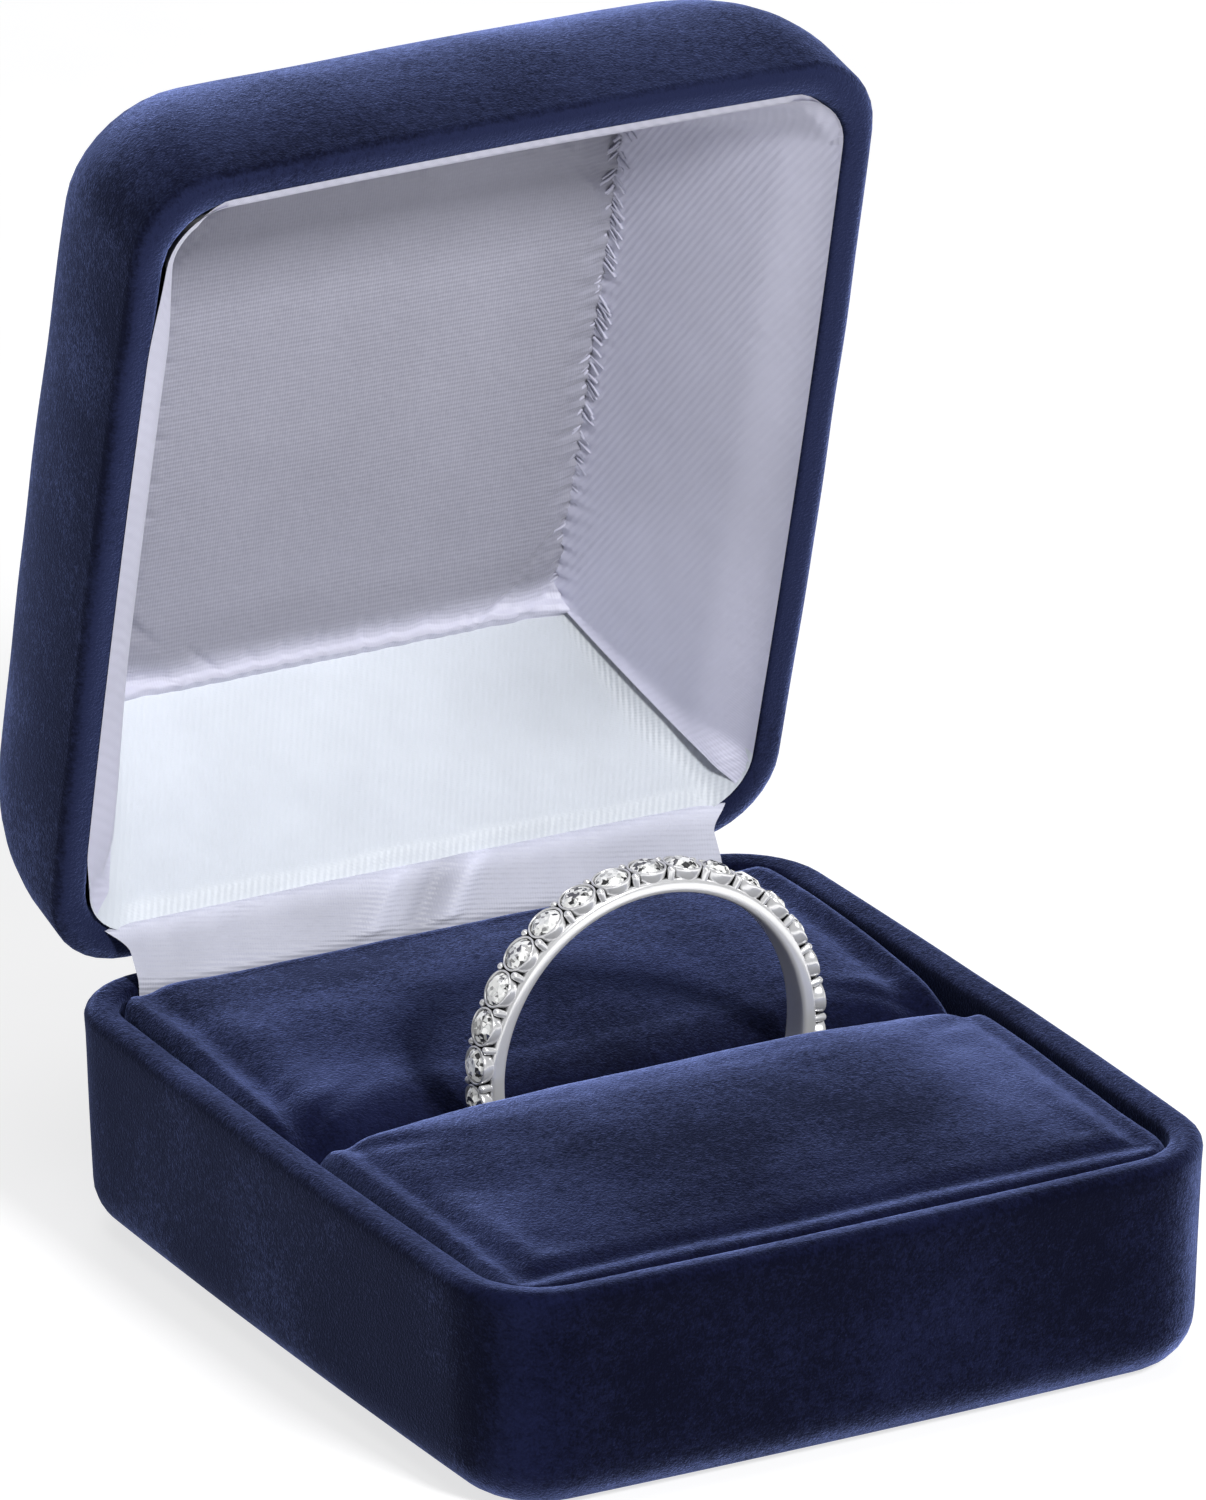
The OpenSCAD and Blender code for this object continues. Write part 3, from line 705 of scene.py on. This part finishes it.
def front_heights(x, y):
    """Crest along the slot, falling in a long curve to the front and a short one to the sides."""
    side = PAD_X - np.abs(x)
    front = y - f_low[1]
    slot = f_high[1] - y
    edge = np.minimum(side, front)
    crest = 12.95 + 2.15 * np.sqrt(np.clip(1 - (np.abs(x) / 22.5) ** 2.6, 0, 1))
    rise = 0.35 * roll(front, 17.0) + 0.65 * np.clip(front / 19.5, 0, 1) ** 0.85
    z = 13.05 + (crest - 13.05) * rise
    corner = bell(side - 2.8, 2.4) * bell(front - 6.0, 6.0)
    z += (
        0.16 * bell(edge - 0.9, 0.6) - 0.22 * bell(edge - 2.1, 0.7)
        + 0.30 * bell(edge - 3.4, 1.0) * corner
    )
    z -= 0.55 * (1 - roll(edge, 0.8))
    return z - 1.7 * (1 - roll(slot, 2.0))


def rear_heights(x, y):
    """Nearly level, with a soft dip behind the ring and a wide roll down into the slot."""
    side = PAD_X - np.abs(x)
    slot = y - r_low[1]
    z = 13.15 + 0.95 * smoothstep(y, 1, 17)
    z += (
        0.16 * bell(side - 0.9, 0.6) - 0.30 * bell(side - 2.4, 0.9)
        + 0.12 * bell(side - 4.6, 1.4)
    )
    z -= 0.55 * (1 - roll(side, 0.8))
    z -= 0.45 * bell(x + 1, 13) * bell(y - 8, 7)
    return z - 3.2 * (1 - roll(slot, 5.0))


def case_edges(low, high, slot_at_high):
    """Pins a cushion along the case's walls and leaves it free along the slot."""

    def pin(mm):
        side = PAD_X - 0.6 - np.abs(mm[:, 0])
        case = (mm[:, 1] - low[1]) if slot_at_high else (high[1] - mm[:, 1])
        return 1 - smoothstep(np.minimum(side, case), 0.3, 2.2)

    return pin


front_pad, front_move = swollen(
    "front_cushion", "front_cushion_foam", case_edges(f_low, f_high, slot_at_high=True)
)
dress_cushion(front_pad, front_move, front_heights, 11, f_low, f_high)
# Painted light on the cushion's crest, right end and front-left corner, painted shade on its front
# slope, partly standing for how the nap lies.
paint_nap_and_light(
    front_pad,
    [(-3, -2.5, 16, 2.6, 0.6), (17, -9, 4.5, 9, 0.5), (-1, -14, 12, 6, -0.9), (-17, -17, 3, 6, 0.3)],
)
finish_piece(
    front_pad, "base", mat_pad, ["front_cushion_velvet", "front_cushion_foam"]
)
rear_pad, rear_move = swollen(
    "rear_cushion", "rear_cushion_foam", case_edges(r_low, r_high, slot_at_high=False)
)
dress_cushion(rear_pad, rear_move, rear_heights, 17, r_low, r_high)
# Painted light on its left by the slot and on its right, painted shade along its back and a painted
# shadow of the ring behind it, partly standing for how the nap lies.
paint_nap_and_light(
    rear_pad,
    [(-15, 6, 4.0, 6, 0.7), (-4, 21, 20, 3.0, -0.9), (2, 8, 7, 5, -0.4), (17, 12, 4, 9, 0.2)],
)
finish_piece(
    rear_pad, "base", mat_pad, ["rear_cushion_velvet", "rear_cushion_foam"]
)

# ---------- satin lining of the lid ----------

# Of a wall's width, from its middle to its end: the straight part, and the part round the corner.
STRAIGHT, TURN = 0.84, 0.16
CLEAR = 0.05  # between the velvet's wrap and the lining


def lining_size(depth):
    """Half width, half depth and corner radius of the lining at a depth inside the lid's rim."""
    t = depth / CARD_D
    hx = HALF_W - (MOUTH + CLEAR + (DEEP_X - MOUTH) * t)
    hy = HALF_D - (MOUTH + CLEAR + (DEEP_Y - MOUTH) * t)
    return hx, hy, 3.6 - 2.0 * smoothstep(t, 0, 1)


def side_wall(sign, turn_front, turn_hinge, rows=50, cols=130):
    """Left or right wall, which carries on round part of the corner at both ends.

    turn_front and turn_hinge say how far, in degrees, at the mouth and at the bottom.
    Returns points, uv, the direction into the lid at each point, rows and columns.
    """
    pts, uv, inward = [], [], []
    for depth in WALL_TOP + (LINING_D - WALL_TOP) * np.linspace(0, 1, rows) ** 1.7:
        hx, hy, r = lining_size(depth)
        t = depth / LINING_D
        ends = (turn_front, turn_hinge)
        a0, a1 = (math.radians(e[0] + (e[1] - e[0]) * t) for e in ends)
        for s in np.linspace(-1, 1, cols):
            a = max(0, abs(s) - STRAIGHT) / TURN * (a1 if s > 0 else a0)
            x = hx - r + r * math.cos(a)
            y = (hy - r) * s / STRAIGHT
            if abs(s) > STRAIGHT:
                y = math.copysign(hy - r + r * math.sin(a), s)
            pts.append((sign * x, y, MOUTH_Z + depth))
            inward.append((-sign * math.cos(a), -math.copysign(math.sin(a), s), 0))
            uv.append((y, depth * 1.12))
    return np.array(pts), np.array(uv), np.array(inward), rows, cols


def end_wall(sign, rows=50, cols=120):
    """Front or hinge-side wall, round both corners; returns what side_wall does."""
    pts, uv, inward = [], [], []
    for depth in WALL_TOP + (LINING_D + 0.45 - WALL_TOP) * np.linspace(0, 1, rows) ** 1.3:
        hx, hy, r = lining_size(depth)
        for s in np.linspace(-1, 1, cols):
            b = math.pi / 2 * (1 - max(0, abs(s) - STRAIGHT) / TURN)
            x = (hx - r) * s / STRAIGHT
            if abs(s) > STRAIGHT:
                x = math.copysign(hx - r + r * math.cos(b), s)
            y = hy - r + r * math.sin(b)
            pts.append((x, sign * y, MOUTH_Z + depth))
            inward.append((-math.copysign(math.cos(b), s), -sign * math.sin(b), 0))
            uv.append((x, depth * 1.15))
    return np.array(pts), np.array(uv), np.array(inward), rows, cols


def depth_of(p):
    return p[:, 2] - MOUTH_Z


def follow_mouth(p):
    """Near the mouth the lining keeps to the bowed rim; deeper down it keeps to the straight card."""
    near = (1 - smoothstep(depth_of(p), 0.5, 4.0))[:, None]
    return p * (1 - near) + bow(p, LID_BOW) * near


def satin_wall(name, data, mat, node, flat, area):
    pts, uv, rows, cols, shade = data
    obj = make(name, opened(pts), grid_faces(rows, cols), uv=uv)
    attribute(obj, "shade", shade)
    finish_piece(obj, "lid", mat, [node])


def pucker(p, along, dist, seed):
    """Herringbone puckers that die away from the seam."""
    ripple = np.sin(2 * math.pi * along / 1.05 + 1.4 * rough(p, 2.5, seed))
    ripple += 0.6 * np.sin(2 * math.pi * along / 0.61 + 2.0 * rough(p, 1.7, seed + 3))
    return ripple * np.exp(-np.clip(dist, 0, None) / 0.75)


def shape_side(sign, seed):
    """Left or right wall with its padding, puckers and free hinge-side edge; lies in the shut lid."""
    pts, uv, inward, rows, cols = side_wall(sign, (89, 72), (36, 42))
    d = depth_of(pts)
    pts = follow_mouth(pts)
    soft = 0.45 + 0.22 * np.sin(math.pi * np.clip(d / LINING_D, 0, 1)) ** 1.5
    soft += 0.08 * (1 + rough(pts, 9, seed)) * smoothstep(d, 1, 4)
    soft += 0.22 * pucker(pts, pts[:, 1], LINING_D - d, seed)
    soft += 0.36 * smoothstep(pts[:, 1], 5, 18) * smoothstep(d, 0.1, 1.2)  # the free edge stands proud
    corner = smoothstep(np.abs(inward[:, 1]), 0.0, 0.5)
    slow = smoothstep(d, 0.1, 3.4) if sign > 0 else smoothstep(d, 0.1, 1.2)
    soft *= slow * (1 - corner) + smoothstep(d, 0.1, 1.0) * corner
    soft *= 1 - 0.75 * smoothstep(inward[:, 1], 0.80, 0.98)  # the front end lies on the front wall
    lip = 0
    if sign < 0:  # its edge rolls over the rim's velvet
        lip = 0.50 * bell(d - 0.95, 0.62) - 0.45 * (1 - smoothstep(d, 0.0, 0.45))
        lip *= smoothstep(pts[:, 1], -22, -15) * (1 - smoothstep(pts[:, 1], 18.5, 22))
    # Painted light: the side walls drawn lighter towards the hinge side, with a little random tone.
    shade = 1 + 0.20 * smoothstep(pts[:, 1], 2, 18) + 0.03 * rough(pts, 6, 51)
    return pts + inward * (soft + lip)[:, None], uv, rows, cols, shade


def shape_end(sign, seed):
    """Hinge-side (sign 1) or front (sign -1) wall with its padding; lies in the shut lid."""
    pts, uv, inward, rows, cols = end_wall(sign)
    d = depth_of(pts)
    pts = follow_mouth(pts)
    soft = 0.26 + 0.10 * (1 + rough(pts, 9, seed))
    rise = 0.35 * (1 - np.sin(math.pi * np.clip(d / LINING_D, 0, 1)))
    flat = 1 - smoothstep(np.abs(inward[:, 0]), 0.0, 0.6)
    below = smoothstep(d, 2, 5)  # further in, the corners must clear the card behind them
    if sign > 0:
        soft += 0.22 * rough(pts * [1, 0, 0], 4.5, 29) * (1 - smoothstep(d, 1.5, 5.0)) * flat
        soft = soft * (flat + (1 - flat) * (0.3 + 0.7 * below)) + 0.16 * (1 - flat) * below
        depth_in = (soft + rise * flat) * smoothstep(d, 0.1, 1.4)
    else:
        slow = smoothstep(d, 0.6, 2.6)
        depth_in = 0.5 * soft * smoothstep(d, 0.0, 0.9) * (0.4 + 0.6 * flat) + flat * rise * slow
        depth_in -= 0.45 * flat * (1 - smoothstep(d, 0.0, 0.4))  # its edge is tucked into the velvet
    # Painted shade: the end walls drawn darker towards the right and deeper in, with a little random
    # tone.
    shade = 1.06 - 0.30 * smoothstep(pts[:, 0], 0, 17) * (0.4 + 0.6 * smoothstep(d, 2, 9))
    shade += 0.03 * rough(pts, 5, 53)
    return pts + inward * depth_in[:, None], uv, rows, cols, shade


# Flat size and area of each wall: a trapezoid, half the sum of its long edges times its depth.
SIDE_CUT = (0.0149, 0.0495), 0.5 * (46.5 + 35.5) * 14.9 * MM * MM
END_CUT = (0.0152, 0.0425), 0.5 * (42.5 + 31) * 15.2 * MM * MM
for name, data, mat, node, cut in (
    ("right_satin_wall", shape_side(1, 21), mat_satin_side, "lid_right_satin", SIDE_CUT),
    ("left_satin_wall", shape_side(-1, 22), mat_satin_side, "lid_left_satin", SIDE_CUT),
    ("hinge_side_satin_wall", shape_end(1, 23), mat_satin_hinge, "lid_hinge_side_satin", END_CUT),
    ("front_satin_wall", shape_end(-1, 24), mat_satin_side, "lid_front_satin", END_CUT),
):
    satin_wall(name, data, mat, node, *cut)


PANEL_OVER = 0.25  # the top panel runs this far under the walls' lower edges
PANEL_SWELL = 0.8  # its simulated swelling stops here, in mm
FOLD_R = 1.2  # the fold where it meets the hinge-side wall


def finer(q, rows, cols, times):
    """A grid of points with that many times as many steps each way."""
    g = q.reshape(rows, cols, -1)
    u = np.linspace(0, rows - 1, times * (rows - 1) + 1)
    v = np.linspace(0, cols - 1, times * (cols - 1) + 1)
    i, j = np.minimum(u.astype(int), rows - 2), np.minimum(v.astype(int), cols - 2)
    a, b = (u - i)[:, None, None], (v - j)[:, None]
    g = g[i] * (1 - a) + g[i + 1] * a
    return (g[:, j] * (1 - b) + g[:, j + 1] * b).reshape(len(u) * len(v), -1)


def top_panel(rows=74, cols=66):
    """The top panel, pinned round its edge and swollen a little over its wadding by cloth pressure."""
    hx, hy, _ = lining_size(LINING_D)
    wide, deep = hx + PANEL_OVER, hy + PANEL_OVER
    xs = np.linspace(-1, 1, cols) * wide
    ys = np.linspace(-1, 1, rows) * deep
    pts = np.array([(x, y, MOUTH_Z + LINING_D + 0.02) for y in ys for x in xs])
    uv = pts[:, :2].copy()
    obj = make("top_panel_sim", pts * CLOTH_SCALE, grid_faces(rows, cols))
    edge = np.minimum(wide - np.abs(pts[:, 0]), deep - np.abs(pts[:, 1]))
    ended = run_cloth(obj, (edge < 0.3).astype(float), -3.0, stiffness=15.0, shrink=-0.02)
    pts = pts + capped(ended / CLOTH_SCALE / MM - pts, PANEL_SWELL)
    pts, uv = (finer(q, rows, cols, 3) for q in (pts, uv))
    rows, cols = 3 * rows - 2, 3 * cols - 2
    bpy.data.objects.remove(obj)
    side = wide - np.abs(pts[:, 0])
    pts[:, 2] -= 0.20 * pucker(pts, pts[:, 1], side, 31) + 0.10 * rough(pts, 8, 33)
    pts[:, 2] -= 0.3 * bell(side, 1.2)
    to_wall = hy - 0.62 - pts[:, 1] + 0.22 * rough(pts * [1, 0, 0], 8, 37)  # the hinge-side wall
    into_fold = np.clip(FOLD_R - to_wall, 0, FOLD_R)
    fillet = FOLD_R - np.sqrt(np.clip(FOLD_R**2 - into_fold**2, 0, None))
    pts[:, 2] -= 0.35 * (1 - smoothstep(to_wall, 0, 6.0)) + 0.75 * fillet
    obj = make("top_satin_panel", opened(pts), grid_faces(rows, cols), uv=uv)
    # Painted shade in a band above the fold and towards the right, painted light on the fold to meet
    # the lighter hinge-side wall, and a little random tone.
    shade = 1 - 0.08 * bell(to_wall - 3.0, 1.4) + 0.85 * (1 - smoothstep(to_wall, 0.0, 2.0))
    shade = shade + 0.04 * rough(pts, 7, 55) - 0.10 * smoothstep(pts[:, 0], 4, 15)
    attribute(obj, "shade", shade)
    finish_piece(obj, "lid", mat_satin_top, ["lid_top_satin", "lid_top_wadding"])


top_panel()


def tube(points, radius, sides=5):
    """Thin thread along a line of points."""
    p = np.asarray(points)
    around = np.arange(sides) * 2 * math.pi / sides
    rings = []
    for i, q in enumerate(p):
        d = p[min(i + 1, len(p) - 1)] - p[max(i - 1, 0)]
        d = d / np.linalg.norm(d)
        a = np.cross(d, [0.3, 0.9, 0.2])
        a /= np.linalg.norm(a)
        b = np.cross(d, a)
        rings.append([q + radius * (math.cos(t) * a + math.sin(t) * b) for t in around])
    return np.array(rings).reshape(-1, 3), grid_faces(len(p), sides, wrap=True)


def join_parts(parts):
    """One pair of points and faces from many."""
    pts, faces, n = [], [], 0
    for p, f in parts:
        pts.append(p)
        faces += [tuple(i + n for i in q) for q in f]
        n += len(p)
    return np.concatenate(pts), faces


rng = np.random.default_rng(7)
THREAD_PITCH = 0.27
threads = []
hx, hy, _ = lining_size(LINING_D)
for sign in (1, -1):  # gathering threads along the panel's seams with the right and left walls
    for y in np.arange(-hy + 0.6, hy - 0.3, THREAD_PITCH):
        y += rng.normal(0, 0.1)
        length = rng.uniform(0.4, 1.2)
        lean = rng.uniform(0.35, 0.9)
        lift = rng.uniform(0.02, 0.16)
        on_panel = rng.random() < 0.5  # otherwise it lies on the wall
        line = []
        for t in np.linspace(0, 1, 5):
            x = hx - 0.40 - 0.9 * length * t if on_panel else hx - 0.32 + 0.35 * length * t
            depth = LINING_D - 0.38 - lift * math.sin(math.pi * min(1, 0.15 + t))
            depth -= 0 if on_panel else 0.9 * length * t
            line.append((sign * x, y + lean * length * t, MOUTH_Z + depth))
        threads.append(tube(opened(np.array(line)), rng.uniform(0.06, 0.12)))
seam = make("seam_threads", *join_parts(threads))
finish_piece(seam, "lid", mat_thread)

# ---------- satin flap over the hinge ----------


def flap_mesh(rows=60, cols=110):
    """From inside the lid's mouth, over its edge, down behind the rear cushion.

    Returns points, uv, rows, columns, its line's (y, z) knots, their distances along it, and shade.
    """
    lid_end = opened(np.array([0, HALF_D - 2.75, MOUTH_Z + 1.6]))[1:]
    lid_edge = opened(np.array([0, HALF_D - 2.62, MOUTH_Z + 0.15]))[1:]
    tuck = np.array([HALF_D - 2.5, BASE_H - 0.1])
    foot = np.array([HALF_D - 2.5, BASE_H - 7.2])
    knots = np.array([lid_end, lid_edge, tuck, foot])
    lengths = np.concatenate([[0], np.cumsum(np.linalg.norm(np.diff(knots, axis=0), axis=1))])
    pts, uv = [], []
    for d in np.linspace(0, lengths[-1], rows):
        y = np.interp(d, lengths, knots[:, 0])
        z = np.interp(d, lengths, knots[:, 1])
        half = 19.4 + 1.5 * (1 - smoothstep(d, lengths[1] * 0.6, lengths[1] + 1.6))  # wider on the lid
        for s in np.linspace(-1, 1, cols):
            pts.append((half * s, y, z))
            uv.append((half * s, d))
    p = np.array(pts)
    d = np.array(uv)[:, 1]
    free = smoothstep(d, lengths[1] * 0.5, lengths[1] + 0.8)
    free *= 1 - smoothstep(d, lengths[2] - 0.5, lengths[2])
    wave = 0.20 * rough(p * [1, 0.3, 0.3], 6, 41) + 0.07 * rough(p * [1, 0.5, 0.5], 1.6, 43)
    slant = p[:, 0] + 0.8 * (d - lengths[1])  # the creases in the middle run aslant
    wave += (
        0.42 * bell(slant - 3.6, 0.9) - 0.30 * bell(slant - 1.6, 0.8)
        + 0.30 * bell(slant + 1.6, 0.8)
    )
    end = smoothstep(np.abs(p[:, 0]), 17.5, 20.5)
    p[:, 1] -= free * (wave + 0.22 * end)
    p[:, 2] += free * 0.12 * end
    # Random tone, with painted light along the top where it leaves the lid and painted highlights and
    # shade along its creases.
    shade = 1 + 0.09 * rough(p * [1, 0.3, 0.3], 5, 47)
    shade += 0.30 * (1 - smoothstep(d, lengths[1] - 0.2, lengths[1] + 1.4))
    shade += (
        0.26 * bell(slant - 4.0, 0.8) - 0.20 * bell(slant - 1.9, 1.0)
        + 0.20 * bell(slant + 1.2, 0.8)
    )
    return p, np.array(uv), rows, cols, knots, lengths, shade


pts, uv, rows, cols, knots, lengths, shade = flap_mesh()
flap = make("hinge_flap_satin", pts, grid_faces(rows, cols), uv=uv)
flap.data.materials.append(mat_satin_flap)
attribute(flap, "shade", shade)
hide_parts("hinge_flap")
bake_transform(flap)

# ---------- ring ----------

STONES = 30
STONE_R = 0.98  # the CAD stones' radius; here they are drawn 0.01 smaller
BAND_R = GIRDLE_R - 1.4  # inside radius of the band


def spun(profile, steps):
    """Surface of revolution about +Z through (radius, height) points."""
    pts = []
    for r, h in profile:
        for t in np.arange(steps) * 2 * math.pi / steps:
            pts.append((r * math.cos(t), r * math.sin(t), h))
    return np.array(pts), grid_faces(len(profile), steps, wrap=True)


def round_band(part, index):
    """Moves a part drawn on the band's +Z radius to its place round the band; index counts stones."""
    p, f = part
    a = 2 * math.pi * index / STONES
    c, s = math.cos(a), math.sin(a)
    q = np.stack([p[:, 0] * c + p[:, 2] * s, p[:, 1], -p[:, 0] * s + p[:, 2] * c], -1)
    return q + RING, f


def band_part(steps=240):
    """The band under the seats: a section of (radius, width) points swept round it."""
    half, bevel = 1.1, 0.22
    outer_r = BAND_R + 0.9
    section = [(BAND_R + 0.13, -half), (BAND_R + 0.04, -half + bevel), (BAND_R, -0.55), (BAND_R, 0.0)]
    section += [(BAND_R, 0.55), (BAND_R + 0.04, half - bevel), (BAND_R + 0.13, half)]
    section += [(BAND_R + 0.3, half), (outer_r - bevel, half - 0.01), (outer_r - 0.06, half - 0.08)]
    section += [(outer_r, half - bevel), (outer_r, 0.0), (outer_r, -half + bevel)]
    section += [(outer_r - 0.06, -half + 0.08), (outer_r - bevel, -half + 0.01), (BAND_R + 0.3, -half)]
    pts, faces = [], []
    n = len(section)
    for i in range(steps):
        a = 2 * math.pi * i / steps
        for r, y in section:
            pts.append((r * math.sin(a), y, r * math.cos(a)))
    for i in range(steps):
        j = (i + 1) % steps
        faces += [(i * n + k, j * n + k, j * n + (k + 1) % n, i * n + (k + 1) % n) for k in range(n)]
    return np.array(pts) + RING, faces


# Seats and beads as (radius, height over the girdle); the beads are shared by neighbouring stones.
seat_line = [(0.40, -1.05), (0.80, -0.92), (1.00, -0.66), (1.10, -0.36), (1.15, -0.08), (1.16, 0.06)]
seat_line += [(1.13, 0.13), (1.07, 0.14), (1.02, 0.08), (1.0, -0.12), (0.62, -0.5), (0.2, -0.84)]
seat_line += [(0.03, -0.9)]
seat = spun([(r, GIRDLE_R + h) for r, h in seat_line], 28)
BEAD_R = 0.24
bead_line = [(0.16, -1.0), (0.23, -0.6), (BEAD_R, -0.1), (BEAD_R, 0.02)]
bead_line += [
    (BEAD_R * math.cos(t), 0.02 + 0.22 * math.sin(t)) for t in np.radians([20, 40, 60, 75, 88])
]
bead, bead_faces = spun([(r, GIRDLE_R + h) for r, h in bead_line], 14)
metal = [band_part()]
for i in range(STONES):
    metal.append(round_band(seat, i))
    for y in (-0.80, 0.80):
        metal.append(round_band((bead + [0, y, 0], bead_faces), i + 0.5))
band = make("ring_band_detailed", *join_parts(metal))
finish_piece(band, "ring", mat_metal, ["ring_band"])


def brilliant(r):
    """Round brilliant: table, stars, kites and girdle facets above, mains and lower facets below."""
    crown, pavilion, table = 0.36, 0.80, 0.56

    def ring(k, rad, h, shift=0.0):
        angles = [2 * math.pi * (i + shift) / k for i in range(k)]
        return [(rad * math.cos(a), rad * math.sin(a), h) for a in angles]

    pts = ring(8, r * table, crown) + ring(8, r * 0.79, crown * 0.56, 0.5)
    pts += ring(16, r, 0.03) + ring(16, r, -0.03) + ring(8, r * 0.52, -pavilion * 0.56, 0.5)
    pts += [(0, 0, -pavilion)]
    # first point of: table, crown's middle, girdle above and below, lower facets, culet
    t, m, g, b, l, c = 0, 8, 16, 32, 48, 56
    faces = [tuple(range(8))]
    for i in range(8):
        j = (i + 1) % 8
        faces.append((t + i, m + i, t + j))
        faces.append((t + j, m + i, g + (2 * i + 2) % 16, m + j))
        faces.append((m + i, g + 2 * i + 1, g + (2 * i + 2) % 16))
        faces.append((m + i, g + 2 * i, g + 2 * i + 1))
        faces.append((b + 2 * i, l + i, b + 2 * i + 1))
        faces.append((b + 2 * i + 1, l + i, b + (2 * i + 2) % 16))
        faces.append((b + (2 * i + 2) % 16, l + i, c, l + j))
    faces += [(g + i, b + i, b + (i + 1) % 16, g + (i + 1) % 16) for i in range(16)]
    return np.array(pts) + [0, 0, GIRDLE_R + 0.02], faces


stones = []
for i in range(STONES):
    p, f = brilliant(STONE_R - 0.01)
    a = rng.uniform(0, math.pi / 4)
    c, s = math.cos(a), math.sin(a)
    spin = np.stack([p[:, 0] * c - p[:, 1] * s, p[:, 0] * s + p[:, 1] * c, p[:, 2]], -1)
    stones.append(round_band((spin, f), i))
gems = make("brilliant_stones", *join_parts(stones), smooth=False, outward=True)
attribute(gems, "facet", rng.random(len(gems.data.polygons)), "FACE")
finish_piece(gems, "ring", mat_stone, ["ring_stones"])

# ---------- what stays of the CAD part ----------

KEPT = {
    mat_shell: ["base_shell", "lid_shell"],
    mat_card: ["lid_wall_card", "lid_top_card"],
    mat_board: ["base_floor_card", "insert_board"],
    mat_pad: ["slot_liner"],
    mat_steel: [
        "base_hinge_leaf", "base_hinge_rivets", "hinge_pin", "snap_spring",
        "lid_hinge_leaf", "lid_hinge_rivets",
    ],
}
for mat, names in KEPT.items():
    for node in names:
        frame["nodes"][node].data.materials.clear()
        frame["nodes"][node].data.materials.append(mat)

# ---------- floor, lights and camera ----------

FLOOR, FLOOR_Z = 2500, -0.02
floor_mat = plain("pale_floor", (0.40, 0.40, 0.405), 0.8, 0, 40, 0.0)
floor_bsdf = floor_mat.node_tree.nodes["Principled BSDF"]
floor_bsdf.inputs["Emission Color"].default_value = (1.0, 1.0, 1.0, 1)
floor_bsdf.inputs["Emission Strength"].default_value = 0.72
floor_corners = ((-FLOOR, -FLOOR), (FLOOR, -FLOOR), (FLOOR, FLOOR), (-FLOOR, FLOOR))
floor = make("floor", [(x, y, FLOOR_Z) for x, y in floor_corners], [(0, 1, 2, 3)])
floor.data.materials.append(floor_mat)

world = bpy.data.worlds.new("studio")
bpy.context.scene.world = world
world.use_nodes = True
world.node_tree.nodes["Background"].inputs["Color"].default_value = (0.93, 0.95, 1.0, 1)
world.node_tree.nodes["Background"].inputs["Strength"].default_value = 0.13


LIT_POINT = Vector((0.0, 0.002, 0.022))  # where every lamp points, in metres


def softbox(name, direction, distance, size, power):
    lamp = bpy.data.lights.new(name, "AREA")
    lamp.size = size
    lamp.energy = power
    obj = bpy.data.objects.new(name, lamp)
    away = Vector(direction).normalized()
    obj.location = LIT_POINT + away * distance
    obj.rotation_euler = away.to_track_quat("Z", "Y").to_euler()
    bpy.context.scene.collection.objects.link(obj)


softbox("key", (0.10, -0.79, 0.61), 0.7, 0.12, 4.5)
softbox("left_fill", (-0.9, -0.25, 0.55), 0.7, 0.5, 0.15)
softbox("back_fill", (0.45, 0.85, 0.45), 0.8, 0.5, 0.9)
softbox("overhead", (-0.12, -0.05, 1.0), 0.8, 0.45, 1.4)

# The camera as solved from the photograph's outlines: degrees, metres, and the lens in mm.
AZIMUTH, ELEVATION, DISTANCE, LENS = -28.947, 21.648, 1.030944, 434.4
TARGET = Vector((-0.001981, 0.000655, 0.033399))
cam_data = bpy.data.cameras.new("camera")
cam_data.sensor_width = 36
cam_data.lens = LENS
cam_data.clip_start = 0.05
cam_data.clip_end = 20
camera = bpy.data.objects.new("camera", cam_data)
a, e = math.radians(AZIMUTH), math.radians(ELEVATION)
back = Vector((math.sin(a) * math.cos(e), -math.cos(a) * math.cos(e), math.sin(e)))
camera.location = TARGET + back * DISTANCE
camera.rotation_mode = "QUATERNION"
camera.rotation_quaternion = back.to_track_quat("Z", "Y")
bpy.context.scene.collection.objects.link(camera)
bpy.context.scene.camera = camera
bpy.context.scene.view_settings.view_transform = "Standard"
